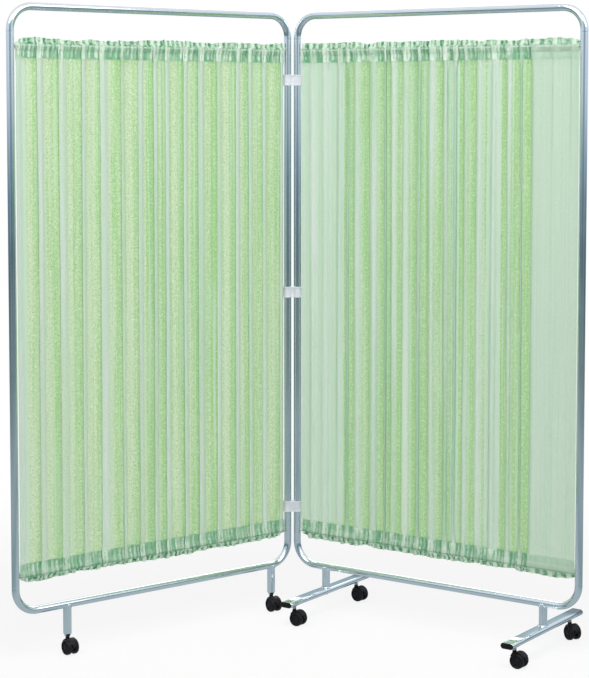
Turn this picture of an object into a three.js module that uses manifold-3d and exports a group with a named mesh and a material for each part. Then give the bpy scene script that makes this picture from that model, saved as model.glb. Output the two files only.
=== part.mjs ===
import * as THREE from 'three';
import { mergeVertices } from 'three/addons/utils/BufferGeometryUtils.js';
import Module from 'manifold-3d';

// Ward privacy screen on wheels: two tube frames with gathered curtains, joined by three clips.
// The left panel stands on two casters, the right panel on two cross feet with two casters each.
// Millimetres, +Z up, +X to the viewer's right and +Y away from the viewer. The origin is at floor
// level under the middle of the whole screen.

const wasm = await Module();
wasm.setup();

// Panels
const panelWidth = 900;
const frameHeight = 1562;
const frameClearance = 120;
const tubeDiameter = 20;
const tubeWall = 1.2;
const bendRadius = 60;
const standingAngleDegrees = 107;

// Hinge clips, placed from the centre lines of the rails
const hingePitch = 27;
const clipHeight = 30;
const clipWall = 1.8;
const clipBoreClearance = 0.5;
const clipRimHeight = 3.5;
const clipRimDepth = 0.8;
const clipWaist = 15;
const topClipDrop = 178;
const middleClipOffset = 8;
const bottomClipRise = 160;

// Curtain rods, placed from the centre lines of the rails
const rodDiameter = 6;
const topRodDrop = 99;
const bottomRodRise = 93;
const rodInsertion = 5;
const rodHoleClearance = 0.3;

// Curtains
const curtainSideGap = 7;
const headerHeight = 21;
const hemHeight = 18;
const bandHeight = 31;
const pocketHeight = 11;
const pocketThickness = 9.6;
const pocketClearance = 0.5;
const clothThickness = 2.4;
const foldDepth = 7;
const gatherDepth = 0.8;
const ruffleDepth = 5;
const foldCount = 14;
const stepsPerFold = 4;
const foldDriftShare = 0.012;
const foldDriftWaves = 3;
const foldSwellShare = 0.25;
const foldSwellWaves = 5;

// Posts. The insets run from the nearer upright's centre line.
const postDiameter = 22;
const postWall = 1.2;
const postCopeDrop = 4;
const leftInnerPostInset = 60;
const leftOuterPostInset = 152;
const rightInnerPostInset = 98.5;
const rightOuterPostInset = 101;
const swageDiameter = 13;
const swageHeight = 9;
const postPlugHeight = 18;

// Cross feet
const footLength = 392;
const footWidth = 36;
const footThickness = 15;
const footWall = 1.5;
const footClearance = 55.5;
const footCasterInset = 40;
const capFlange = 2.5;
const capPlugLength = 14;
const capEdge = 1;
const footBoltDiameter = 8;
const footBoltHeadDiameter = 13;
const footBoltHeadHeight = 4.5;
const footBoltThreadLength = 12;

// Casters
const casterHeight = 44;
const casterTrail = 13.5;
const wheelDiameter = 40;
const wheelWidth = 11.5;
const wheelEdge = 2.5;
const wheelFaceRecess = 1.5;
const wheelHubDiameter = 13;
const housingWebThickness = 9;
const housingWebLowerRadius = 13;
const housingWebSpreadDegrees = 80;
const hoodClearance = 1;
const hoodThickness = 1.5;
const hoodWidth = 24;
const hoodSpreadDegrees = 60;
const neckDiameter = 11;
const wheelSideGap = 0.5;
const axleDiameter = 5;
const axleGrip = 8;
const pinDiameter = 6;
const pinLength = 17;
const stemDiameter = 8;
const stemShoulderDiameter = 10;
const socketLength = 28;
const insertDiameter = 11;
const insertFlangeDiameter = 14;
const insertFlangeHeight = 0.8;
const insertLength = 11;

// Fits: the gap between pieces that touch, and how far a cutter runs past what it cuts
const fitGap = 0.3;
const overrun = 5;

// Facets round a full circle, and steps in a quarter bend
const tubeSides = 16;
const boreSides = 8;
const smallSides = 10;
const wheelSides = 16;
const clipSides = 8;
const bendSteps = 5;
const webSteps = 8;
const webLowerSteps = 4;
const hoodSteps = 6;
const underHoodSteps = 17;

// Places worked out from the sizes above
const tubeRadius = tubeDiameter / 2;
const uprightSpacing = panelWidth - tubeDiameter;
const bottomRailZ = frameClearance + tubeRadius;
const topRailZ = bottomRailZ + frameHeight - tubeDiameter;
const topRodZ = topRailZ - topRodDrop;
const bottomRodZ = bottomRailZ + bottomRodRise;
const footTopZ = footClearance + footThickness;
const panelTurn = THREE.MathUtils.degToRad((180 - standingAngleDegrees) / 2);
const leftHeading = Math.PI + panelTurn;
const rightHeading = -panelTurn;

// Finishes
const chrome = new THREE.MeshStandardMaterial({ color: 0xb4c0c6, roughness: 0.22, metalness: 1 });
const zincSteel = new THREE.MeshStandardMaterial({ color: 0x9aa1a5, roughness: 0.4, metalness: 1 });
const whitePlastic = new THREE.MeshStandardMaterial({ color: 0xe9ecec, roughness: 0.4, metalness: 0 });
const blackPlastic = new THREE.MeshStandardMaterial({ color: 0x1c1a1b, roughness: 0.55, metalness: 0 });
const greenVoile = new THREE.MeshStandardMaterial({ color: 0xb4dcb0, roughness: 0.8, metalness: 0 });

// A closed geometry as a solid, with its seams merged and its faces turned outwards.
function solidOf(geometry) {
  const bare = new THREE.BufferGeometry();
  bare.setAttribute('position', geometry.getAttribute('position').clone());
  bare.setIndex(geometry.index);
  const merged = mergeVertices(bare);
  const corners = merged.getAttribute('position');
  const triangles = [];
  let volume = 0;
  const a = new THREE.Vector3();
  const b = new THREE.Vector3();
  const c = new THREE.Vector3();
  for (let i = 0; i < merged.index.count; i += 3) {
    const [p, q, r] = [0, 1, 2].map((k) => merged.index.getX(i + k));
    if (p === q || q === r || r === p) {
      continue;
    }
    triangles.push([p, q, r]);
    a.fromBufferAttribute(corners, p);
    b.fromBufferAttribute(corners, q);
    c.fromBufferAttribute(corners, r);
    volume += a.dot(b.cross(c));
  }
  const outward = volume > 0 ? triangles : triangles.map(([p, q, r]) => [p, r, q]);
  return new wasm.Manifold(new wasm.Mesh({
    numProp: 3,
    vertProperties: new Float32Array(corners.array),
    triVerts: new Uint32Array(outward.flat()),
  }));
}

// A solid as a mesh with its own copy of a finish.
function meshOf(name, solid, finish) {
  const { vertProperties, triVerts } = solid.getMesh();
  const geometry = new THREE.BufferGeometry();
  geometry.setAttribute('position', new THREE.BufferAttribute(vertProperties, 3));
  geometry.setIndex(new THREE.BufferAttribute(triVerts, 1));
  geometry.computeVertexNormals();
  const mesh = new THREE.Mesh(geometry, finish.clone());
  mesh.name = name;
  return mesh;
}

// A round bar along Z, from bottom to top.
function uprightBar(radius, bottom, top, sides) {
  const geometry = new THREE.CylinderGeometry(radius, radius, top - bottom, sides);
  geometry.rotateX(Math.PI / 2);
  geometry.translate(0, 0, (bottom + top) / 2);
  return solidOf(geometry);
}

// A round bar along X at height z, from one end to the other.
function levelBar(radius, from, to, z, sides) {
  const geometry = new THREE.CylinderGeometry(radius, radius, to - from, sides);
  geometry.rotateZ(Math.PI / 2);
  geometry.translate((from + to) / 2, 0, z);
  return solidOf(geometry);
}

// A turned piece about Z. The profile lists [radius, z] pairs and starts and ends on the axis,
// or closes on itself.
function turned(profile, sides) {
  const geometry = new THREE.LatheGeometry(profile.map(([r, z]) => new THREE.Vector2(r, z)), sides);
  geometry.rotateX(Math.PI / 2);
  return solidOf(geometry);
}

// An outline in the XY plane, raised from bottom to top.
function raised(shape, bottom, top, curveSegments) {
  const depth = top - bottom;
  const geometry = new THREE.ExtrudeGeometry(shape, { depth, bevelEnabled: false, curveSegments });
  geometry.translate(0, 0, bottom);
  return solidOf(geometry);
}

// Frame loop of one panel, in the panel's XZ plane, with X running out from the hinge upright.
function roundedLoop(sectionRadius, sides) {
  const corners = [
    [uprightSpacing - bendRadius, topRailZ - bendRadius],
    [bendRadius, topRailZ - bendRadius],
    [bendRadius, bottomRailZ + bendRadius],
    [uprightSpacing - bendRadius, bottomRailZ + bendRadius],
  ];
  const positions = [];
  corners.forEach(([cx, cz], corner) => {
    for (let step = 0; step <= bendSteps; step += 1) {
      const bend = (corner + step / bendSteps) * Math.PI / 2;
      for (let side = 0; side < sides; side += 1) {
        const around = side / sides * 2 * Math.PI;
        const reach = bendRadius + sectionRadius * Math.cos(around);
        const outwards = sectionRadius * Math.sin(around);
        positions.push(cx + reach * Math.cos(bend), outwards, cz + reach * Math.sin(bend));
      }
    }
  });
  const ringCount = positions.length / 3 / sides;
  const index = [];
  for (let ring = 0; ring < ringCount; ring += 1) {
    const next = (ring + 1) % ringCount;
    for (let side = 0; side < sides; side += 1) {
      const beside = (side + 1) % sides;
      const [p, q] = [ring * sides + side, ring * sides + beside];
      const [r, s] = [next * sides + side, next * sides + beside];
      index.push(p, q, s, p, s, r);
    }
  }
  const geometry = new THREE.BufferGeometry();
  geometry.setAttribute('position', new THREE.Float32BufferAttribute(positions, 3));
  geometry.setIndex(index);
  return solidOf(geometry);
}

function frameTube() {
  const holeRadius = rodDiameter / 2 + rodHoleClearance;
  let tube = roundedLoop(tubeRadius, tubeSides).subtract(roundedLoop(tubeRadius - tubeWall, boreSides));
  for (const z of [topRodZ, bottomRodZ]) {
    const hingeHole = levelBar(holeRadius, tubeRadius - rodInsertion, tubeRadius + overrun, z, smallSides);
    const outerHole = levelBar(
      holeRadius,
      uprightSpacing - tubeRadius - overrun,
      uprightSpacing - tubeRadius + rodInsertion,
      z,
      smallSides,
    );
    tube = tube.subtract(hingeHole).subtract(outerHole);
  }
  return tube;
}

function curtainRod(z) {
  const end = tubeRadius - rodInsertion + fitGap;
  return levelBar(rodDiameter / 2, end, uprightSpacing - end, z, smallSides);
}

// Curtain: a ribbon of cloth that swings to and fro in folds. Each level gives the height, the depth of
// the folds there and the thickness, from the hem up to the header.
function curtain() {
  const width = uprightSpacing - 2 * (tubeRadius + curtainSideGap);
  const start = tubeRadius + curtainSideGap;
  const top = topRodZ - bandHeight;
  const bottom = bottomRodZ + bandHeight;
  const fallShares = [0.33, 0.67];
  const levels = [
    [bottomRodZ - hemHeight, ruffleDepth, clothThickness],
    [bottomRodZ - pocketHeight / 2, gatherDepth, pocketThickness],
    [bottomRodZ + pocketHeight / 2, gatherDepth, pocketThickness],
    [bottom, foldDepth / 2, clothThickness],
    ...fallShares.map((share) => [bottom + share * (top - bottom), foldDepth, clothThickness]),
    [top, foldDepth / 2, clothThickness],
    [topRodZ - pocketHeight / 2, gatherDepth, pocketThickness],
    [topRodZ + pocketHeight / 2, gatherDepth, pocketThickness],
    [topRodZ + headerHeight, ruffleDepth, clothThickness],
  ];
  const columns = foldCount * stepsPerFold;
  const positions = [];
  for (const [z, depth, thickness] of levels) {
    for (const face of [1, -1]) {
      for (let column = 0; column <= columns; column += 1) {
        const along = column / columns;
        const turn = 2 * Math.PI * along;
        const drift = foldDriftShare * Math.sin(foldDriftWaves * turn);
        const swell = 1 + foldSwellShare * Math.sin(foldSwellWaves * turn + 1);
        const swing = Math.sin(foldCount * turn) * swell;
        positions.push(start + width * (along + drift), depth * swing + face * thickness / 2, z);
      }
    }
  }
  const row = columns + 1;
  const front = (level, column) => level * 2 * row + column;
  const back = (level, column) => front(level, column) + row;
  const last = levels.length - 1;
  const index = [];
  const quad = (p, q, r, s) => index.push(p, q, r, p, r, s);
  for (let level = 0; level < last; level += 1) {
    const above = level + 1;
    for (let column = 0; column < columns; column += 1) {
      const next = column + 1;
      quad(front(level, column), front(above, column), front(above, next), front(level, next));
      quad(back(level, column), back(level, next), back(above, next), back(above, column));
    }
    quad(back(level, 0), back(above, 0), front(above, 0), front(level, 0));
    quad(front(level, columns), front(above, columns), back(above, columns), back(level, columns));
  }
  for (let column = 0; column < columns; column += 1) {
    quad(back(0, column), front(0, column), front(0, column + 1), back(0, column + 1));
    quad(front(last, column), back(last, column), back(last, column + 1), front(last, column + 1));
  }
  const geometry = new THREE.BufferGeometry();
  geometry.setAttribute('position', new THREE.Float32BufferAttribute(positions, 3));
  geometry.setIndex(index);
  const boreRadius = rodDiameter / 2 + pocketClearance;
  let cloth = solidOf(geometry);
  for (const z of [topRodZ, bottomRodZ]) {
    cloth = cloth.subtract(levelBar(boreRadius, start - overrun, start + width + overrun, z, smallSides));
  }
  return cloth;
}

// Posts: tubes coped to the bottom rail, at their own centre line
function copedAt(post) {
  const half = postDiameter / 2 + overrun;
  return post.subtract(levelBar(tubeRadius + fitGap, -half, half, bottomRailZ, tubeSides));
}

const postTopZ = bottomRailZ - postCopeDrop;
const postBoreRadius = postDiameter / 2 - postWall;

// The left posts are swaged in at the foot round the caster's stem.
function swagedPost() {
  const bottom = casterHeight;
  const shoulder = bottom + swageHeight;
  return copedAt(turned([
    [postDiameter / 2, postTopZ],
    [postDiameter / 2, shoulder],
    [swageDiameter / 2, bottom],
    [swageDiameter / 2 - postWall, bottom],
    [postBoreRadius, shoulder],
    [postBoreRadius, postTopZ],
    [postDiameter / 2, postTopZ],
  ], tubeSides));
}

// The right posts end in a threaded plug that stands on the foot.
function footedPost() {
  const bottom = footTopZ + fitGap;
  const threadRadius = footBoltDiameter / 2 + fitGap;
  return copedAt(turned([
    [postDiameter / 2, postTopZ],
    [postDiameter / 2, bottom],
    [threadRadius, bottom],
    [threadRadius, bottom + postPlugHeight],
    [postBoreRadius, bottom + postPlugHeight],
    [postBoreRadius, postTopZ],
    [postDiameter / 2, postTopZ],
  ], tubeSides));
}

// Cross feet: flat-oval tube along Y, with its own middle at the origin
function flatOval(width, thickness) {
  const radius = thickness / 2;
  const reach = width / 2 - radius;
  const shape = new THREE.Shape();
  shape.absarc(reach, 0, radius, -Math.PI / 2, Math.PI / 2);
  shape.absarc(-reach, 0, radius, Math.PI / 2, Math.PI * 1.5);
  return shape;
}

// A flat-oval bar along Y between two ends, round the foot's centre line.
function ovalBar(width, thickness, from, to) {
  const geometry = new THREE.ExtrudeGeometry(flatOval(width, thickness), {
    depth: to - from,
    bevelEnabled: false,
    curveSegments: smallSides / 2,
  });
  geometry.rotateX(Math.PI / 2);
  geometry.translate(0, to, footClearance + footThickness / 2);
  return solidOf(geometry);
}

const footCasterReach = footLength / 2 - footCasterInset;

function crossFoot() {
  const half = footLength / 2;
  const below = footClearance - overrun;
  const walls = 2 * footWall;
  const bore = ovalBar(footWidth - walls, footThickness - walls, -half - overrun, half + overrun);
  const boltHole = uprightBar(footBoltDiameter / 2 + fitGap, below, footTopZ + overrun, smallSides);
  let foot = ovalBar(footWidth, footThickness, -half, half).subtract(bore).subtract(boltHole);
  for (const y of [footCasterReach, -footCasterReach]) {
    const middle = footClearance + footThickness / 2;
    const insertHole = uprightBar(insertDiameter / 2 + fitGap, below, middle, smallSides);
    foot = foot.subtract(insertHole.translate(0, y, 0));
  }
  return foot;
}

// A cap on the foot's end at +Y, with its plug inside the tube and a softened face.
function footCap() {
  const end = footLength / 2 + fitGap;
  const inset = 2 * (footWall + fitGap);
  const plug = ovalBar(footWidth - inset, footThickness - inset, end - capPlugLength, end + capEdge);
  const face = flatOval(footWidth - 2 * capEdge, footThickness - 2 * capEdge);
  const geometry = new THREE.ExtrudeGeometry(face, {
    depth: capFlange - 2 * capEdge,
    bevelSize: capEdge,
    bevelThickness: capEdge,
    bevelSegments: 1,
    curveSegments: smallSides / 2,
  });
  geometry.rotateX(Math.PI / 2);
  geometry.translate(0, end + capFlange - capEdge, footClearance + footThickness / 2);
  return plug.add(solidOf(geometry));
}

// The bolt comes up through the foot into the post's plug.
function footBolt() {
  const seat = footClearance - fitGap;
  const head = uprightBar(footBoltHeadDiameter / 2, seat - footBoltHeadHeight, seat, 6);
  const shankTop = footTopZ + footBoltThreadLength;
  return head.add(uprightBar(footBoltDiameter / 2, seat - footBoltHeadHeight / 2, shankTop, smallSides));
}

// Hinge clip: two sleeves on one web, with a rim above and below, middle at the origin
function clipOutline(growth) {
  const radius = tubeRadius + clipBoreClearance + clipWall + growth;
  const waist = clipWaist / 2 + growth;
  const open = Math.asin(waist / radius);
  const shape = new THREE.Shape();
  shape.absarc(hingePitch / 2, 0, radius, -Math.PI + open, Math.PI - open);
  shape.absarc(-hingePitch / 2, 0, radius, open, 2 * Math.PI - open);
  return shape;
}

function hingeClip() {
  const half = clipHeight / 2;
  const bandHalf = half - clipRimHeight / 2;
  const band = raised(clipOutline(0), -bandHalf, bandHalf, clipSides);
  const upperRim = raised(clipOutline(clipRimDepth), half - clipRimHeight, half, clipSides);
  const lowerRim = raised(clipOutline(clipRimDepth), -half, clipRimHeight - half, clipSides);
  let clip = band.add(upperRim).add(lowerRim);
  for (const x of [hingePitch / 2, -hingePitch / 2]) {
    const bore = uprightBar(tubeRadius + clipBoreClearance, -half - overrun, half + overrun, tubeSides);
    clip = clip.subtract(bore.translate(x, 0, 0));
  }
  return clip;
}

// Casters: the stem's axis is Z, the wheels trail along +X and the axle lies along Y
const wheelRadius = wheelDiameter / 2;
const wheelInnerFace = housingWebThickness / 2 + wheelSideGap;
const neckTopZ = casterHeight - fitGap;
const pinBottomZ = neckTopZ - pinLength;

// Points on a circle about the axle, from one side of a middle angle to the other, in degrees.
function arcPoints(radius, middleDegrees, spreadDegrees, steps) {
  return Array.from({ length: steps + 1 }, (_, step) => {
    const angle = THREE.MathUtils.degToRad(middleDegrees + (2 * step / steps - 1) * spreadDegrees);
    return new THREE.Vector2(radius * Math.cos(angle), radius * Math.sin(angle));
  });
}

// A flat outline in the wheel's plane, about the axle, as a slab of the given width.
function axleSlab(points, width) {
  const slab = raised(new THREE.Shape(points), -width / 2, width / 2, 1);
  return slab.rotate(90, 0, 0).translate(casterTrail, 0, wheelRadius);
}

// A web between the wheels, a hood over their inner halves and a neck round the stem's pin.
function casterHousing() {
  const [up, down, trailing] = [90, 270, 180];
  const hoodInner = wheelRadius + hoodClearance;
  const hoodOuter = hoodInner + hoodThickness;
  const web = [
    ...arcPoints(hoodOuter, up, housingWebSpreadDegrees, webSteps),
    ...arcPoints(housingWebLowerRadius, down, housingWebSpreadDegrees, webLowerSteps),
  ];
  const hood = [
    ...arcPoints(hoodOuter, up, hoodSpreadDegrees, hoodSteps),
    ...arcPoints(hoodInner, up, hoodSpreadDegrees, hoodSteps).reverse(),
  ];
  const neck = uprightBar(neckDiameter / 2, wheelRadius + hoodInner / 2, neckTopZ, smallSides);
  const wheelSpread = up + housingWebSpreadDegrees;
  const underHood = axleSlab(arcPoints(hoodInner, trailing, wheelSpread, underHoodSteps), hoodWidth);
  const pinBore = uprightBar(pinDiameter / 2 + fitGap, pinBottomZ - fitGap, neckTopZ + overrun, smallSides);
  const axleBore = uprightBar(axleDiameter / 2 + fitGap, -hoodWidth, hoodWidth, smallSides)
    .rotate(90, 0, 0)
    .translate(casterTrail, 0, wheelRadius);
  return neck.subtract(underHood)
    .add(axleSlab(hood, hoodWidth))
    .add(axleSlab(web, housingWebThickness))
    .subtract(pinBore)
    .subtract(axleBore);
}

function casterAxle() {
  const half = wheelInnerFace + axleGrip;
  return uprightBar(axleDiameter / 2, -half, half, smallSides)
    .rotate(90, 0, 0)
    .translate(casterTrail, 0, wheelRadius);
}

// A wheel with a blind bore, a rounded tread edge and a dished face. Side is 1 or -1 along the axle.
function casterWheel(side) {
  const rim = wheelRadius / Math.cos(Math.PI / wheelSides);
  const outerFace = wheelInnerFace + wheelWidth;
  const boreRadius = axleDiameter / 2 + fitGap;
  const boreEnd = wheelInnerFace + axleGrip + fitGap;
  const profile = [
    [0, outerFace],
    [wheelHubDiameter / 2, outerFace - wheelFaceRecess],
    [rim - 2 * wheelEdge, outerFace],
    [rim, outerFace - wheelEdge],
    [rim, wheelInnerFace],
    [boreRadius, wheelInnerFace],
    [boreRadius, boreEnd],
    [0, boreEnd],
  ];
  const points = profile.map(([radius, y]) => new THREE.Vector2(radius, side * y));
  const geometry = new THREE.LatheGeometry(points, wheelSides);
  geometry.rotateY(Math.PI / wheelSides);
  geometry.translate(casterTrail, 0, wheelRadius);
  return solidOf(geometry);
}

// The stem of a left caster runs up into a socket inside the post.
const socketBottomZ = casterHeight + swageHeight + fitGap;

function socketStem() {
  const top = socketBottomZ + socketLength - fitGap;
  const pin = uprightBar(pinDiameter / 2, pinBottomZ, top, smallSides);
  return pin.add(uprightBar(stemDiameter / 2, casterHeight, top, smallSides));
}

function stemSocket() {
  const radius = postBoreRadius - fitGap;
  const bore = stemDiameter / 2 + fitGap;
  const top = socketBottomZ + socketLength;
  return turned([
    [radius, socketBottomZ],
    [radius, top],
    [bore, top],
    [bore, socketBottomZ],
    [radius, socketBottomZ],
  ], smallSides);
}

// The stem of a foot's caster has a shoulder under the foot and screws into an insert in its wall.
function screwStem() {
  const seat = footClearance - insertFlangeHeight - 2 * fitGap;
  const pin = uprightBar(pinDiameter / 2, pinBottomZ, seat, smallSides);
  const shoulder = uprightBar(stemShoulderDiameter / 2, casterHeight, seat, smallSides);
  const threadTop = footClearance + insertLength - fitGap;
  const thread = uprightBar(stemDiameter / 2, casterHeight, threadTop, smallSides);
  return pin.add(shoulder).add(thread);
}

function threadedInsert() {
  const flangeTop = footClearance - fitGap;
  const flangeBottom = flangeTop - insertFlangeHeight;
  const top = footClearance + insertLength;
  const bore = stemDiameter / 2 + fitGap;
  return turned([
    [bore, flangeBottom],
    [insertFlangeDiameter / 2, flangeBottom],
    [insertFlangeDiameter / 2, flangeTop],
    [insertDiameter / 2, flangeTop],
    [insertDiameter / 2, top],
    [bore, top],
    [bore, flangeBottom],
  ], smallSides);
}

// Assembly
const screen = new THREE.Group();

function groupAt(parent, x, y, z, turn) {
  const group = new THREE.Group();
  group.position.set(x, y, z);
  group.rotation.z = turn;
  parent.add(group);
  return group;
}

// A caster under a panel at [x, y], with its wheels trailing towards the given heading.
function addCaster(panel, panelHeading, name, x, y, headingDegrees, stem, holder, holderFinish) {
  const turn = THREE.MathUtils.degToRad(headingDegrees) - panelHeading;
  const place = groupAt(panel, x, y, 0, turn);
  place.add(meshOf(`${name}_caster_holder`, holder(), holderFinish));
  place.add(meshOf(`${name}_caster_stem`, stem(), zincSteel));
  place.add(meshOf(`${name}_caster_housing`, casterHousing(), blackPlastic));
  place.add(meshOf(`${name}_caster_axle`, casterAxle(), zincSteel));
  place.add(meshOf(`${name}_caster_wheel_a`, casterWheel(1), blackPlastic));
  place.add(meshOf(`${name}_caster_wheel_b`, casterWheel(-1), blackPlastic));
}

function addFrame(panel, side) {
  panel.add(meshOf(`${side}_frame_tube`, frameTube(), chrome));
  panel.add(meshOf(`${side}_top_rod`, curtainRod(topRodZ), zincSteel));
  panel.add(meshOf(`${side}_bottom_rod`, curtainRod(bottomRodZ), zincSteel));
  panel.add(meshOf(`${side}_curtain`, curtain(), greenVoile));
}

const leftPanel = groupAt(screen, -hingePitch / 2, 0, 0, leftHeading);
addFrame(leftPanel, 'left');
const leftPosts = [
  ['inner', leftInnerPostInset, -58],
  ['outer', uprightSpacing - leftOuterPostInset, -54],
];
for (const [place, x, heading] of leftPosts) {
  const post = meshOf(`left_${place}_post`, swagedPost(), chrome);
  post.position.x = x;
  leftPanel.add(post);
  addCaster(leftPanel, leftHeading, `left_${place}`, x, 0, heading, socketStem, stemSocket, blackPlastic);
}

const rightPanel = groupAt(screen, hingePitch / 2, 0, 0, rightHeading);
addFrame(rightPanel, 'right');
const feet = [
  ['inner', rightInnerPostInset, -38, -44],
  ['outer', uprightSpacing - rightOuterPostInset, -39, -67],
];
for (const [place, x, frontHeading, rearHeading] of feet) {
  const foot = groupAt(rightPanel, x, 0, 0, 0);
  foot.add(meshOf(`right_${place}_post`, footedPost(), chrome));
  foot.add(meshOf(`${place}_foot`, crossFoot(), chrome));
  foot.add(meshOf(`${place}_foot_bolt`, footBolt(), zincSteel));
  foot.add(meshOf(`${place}_foot_rear_cap`, footCap(), blackPlastic));
  groupAt(foot, 0, 0, 0, Math.PI).add(meshOf(`${place}_foot_front_cap`, footCap(), blackPlastic));
  const casters = [
    ['front', -footCasterReach, frontHeading],
    ['rear', footCasterReach, rearHeading],
  ];
  for (const [end, y, heading] of casters) {
    const name = `${place}_${end}`;
    addCaster(rightPanel, rightHeading, name, x, y, heading, screwStem, threadedInsert, zincSteel);
  }
}

const topClipZ = topRailZ - topClipDrop;
const bottomClipZ = bottomRailZ + bottomClipRise;
const clipHeights = [
  ['top', topClipZ],
  ['middle', (topClipZ + bottomClipZ) / 2 + middleClipOffset],
  ['bottom', bottomClipZ],
];
for (const [place, z] of clipHeights) {
  const clip = meshOf(`${place}_clip`, hingeClip(), whitePlastic);
  clip.position.z = z;
  screen.add(clip);
}

// The origin goes under the middle of everything.
screen.updateMatrixWorld(true);
const middle = new THREE.Box3().setFromObject(screen, true).getCenter(new THREE.Vector3());
screen.position.set(-middle.x, -middle.y, 0);
screen.updateMatrixWorld(true);

export default screen;
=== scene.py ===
import math
from types import SimpleNamespace

import bmesh
import bpy
import numpy as np
from mathutils import Matrix, Vector


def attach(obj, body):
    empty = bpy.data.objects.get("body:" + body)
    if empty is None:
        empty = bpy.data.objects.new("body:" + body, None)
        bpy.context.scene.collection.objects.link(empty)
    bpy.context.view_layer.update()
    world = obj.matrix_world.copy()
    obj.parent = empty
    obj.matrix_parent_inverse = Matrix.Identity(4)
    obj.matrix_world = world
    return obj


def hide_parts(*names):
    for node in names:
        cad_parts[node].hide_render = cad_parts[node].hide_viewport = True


# A ward privacy screen on wheels: two chromed tube frames with gathered voile curtains, three white
# hinge clips, two cross feet and six twin-wheel casters. Metres, +Z up, the floor at zero.

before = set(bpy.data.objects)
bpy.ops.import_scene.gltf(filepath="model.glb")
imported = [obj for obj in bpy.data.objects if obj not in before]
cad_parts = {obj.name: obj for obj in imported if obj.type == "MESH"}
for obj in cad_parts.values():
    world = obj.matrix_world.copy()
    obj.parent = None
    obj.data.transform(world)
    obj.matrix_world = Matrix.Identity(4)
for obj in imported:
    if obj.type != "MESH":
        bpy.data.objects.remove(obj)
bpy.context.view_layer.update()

MM = 0.001

# Photograph and camera. The camera was fitted to the straight edges of the frame in the photograph.
PHOTO_HEIGHT = 678
FOCAL_PIXELS = 1852.7
CENTRE_ROW_PIXELS = 233
SENSOR_WIDTH = 36.0
CAMERA_PLACE = Vector((-0.1692, -4.9301, 1.4177))
CAMERA_TURN = -0.0297
CAMERA_TILT = 0.0676

# Fineness of the modelled surfaces
TUBE_SIDES = 48
BEND_STEPS = 20
TURNED_SIDES = 56
OVAL_STEPS = 20
CLIP_STEPS = 36


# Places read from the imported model

def corners_of(node):
    """A node's corners at rest, one row each."""
    return np.array([v.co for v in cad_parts[node].data.vertices])


def middle(*nodes):
    """The middle of the box round some nodes."""
    corners = np.concatenate([corners_of(n) for n in nodes])
    return Vector((corners.min(0) + corners.max(0)) / 2)


def flat(vector):
    return Vector((vector[0], vector[1], 0))


class Place:
    """An upright local frame: its origin on the floor and the way that its X axis points."""

    def __init__(self, origin, heading):
        self.origin = flat(origin)
        self.along = flat(heading).normalized()
        turn = math.atan2(self.along.y, self.along.x)
        self.matrix = Matrix.Translation(self.origin) @ Matrix.Rotation(turn, 4, "Z")

    def span(self, node):
        """Lowest and highest corner of a node in this frame."""
        local = np.array(self.matrix.inverted())
        corners = corners_of(node) @ local[:3, :3].T + local[:3, 3]
        return corners.min(0), corners.max(0)

    def put(self, corners):
        """Corners of this frame as corners of the shared one."""
        m = np.array(self.matrix)
        return np.asarray(corners) @ m[:3, :3].T + m[:3, 3]


def panel_place(side):
    """The frame of a panel: X runs out from the axis of its hinge upright, and Y is its normal."""
    inner, outer = middle(f"{side}_inner_post"), middle(f"{side}_outer_post")
    rough = Place(inner, outer - inner)
    low, high = rough.span(f"{side}_frame_tube")
    radius = (high[1] - low[1]) / 2
    return Place(rough.origin + rough.along * (low[0] + radius), rough.along)


# Meshes

def new_mesh(name, corners, faces):
    mesh = bpy.data.meshes.new(name)
    mesh.from_pydata(np.asarray(corners).tolist(), [], faces)
    return mesh


def new_object(name, data):
    made = bpy.data.objects.new(name, data)
    bpy.context.scene.collection.objects.link(made)
    return made


class Shape:
    """Corners and faces gathered from several parts, with a grain place for each corner."""

    def __init__(self):
        self.corners, self.faces, self.grain = [], [], []
        self.count = 0

    def add(self, place, part, grain=None):
        """Adds a part, which is its corners in a place's frame and its faces."""
        corners = place.put(part[0])
        self.corners.append(corners)
        self.grain.append(corners if grain is None else np.asarray(grain, float))
        self.faces += [[i + self.count for i in face] for face in part[1]]
        self.count += len(corners)
        return self


def grid_faces(rows, columns, round_rows=False, round_columns=True):
    """Quads of a grid of corners that is stored row by row."""
    faces = []
    for i in range(rows if round_rows else rows - 1):
        for j in range(columns if round_columns else columns - 1):
            k, m = (i + 1) % rows, (j + 1) % columns
            faces.append([i * columns + j, i * columns + m, k * columns + m, k * columns + j])
    return faces


def softened(points, radius, steps=4, closed=False):
    """A line of points with its corners rounded off."""
    points = [Vector(p) for p in points]
    count = len(points)
    result = []
    for i, p in enumerate(points):
        if not closed and i in (0, count - 1):
            result.append(p)
            continue
        before, after = points[i - 1] - p, points[(i + 1) % count] - p
        cut = min(radius, before.length / 2.01, after.length / 2.01)
        a, b = p + before.normalized() * cut, p + after.normalized() * cut
        for k in range(steps + 1):
            t = k / steps
            result.append(a * (1 - t) ** 2 + p * 2 * t * (1 - t) + b * t * t)
    return [tuple(p) for p in result]


def angles_round(count):
    return [2 * math.pi * k / count for k in range(count)]


def moved(part, change):
    """A part with each of its corners put through a function of x, y and z."""
    corners, faces = part
    return [change(*corner) for corner in corners], faces


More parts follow.
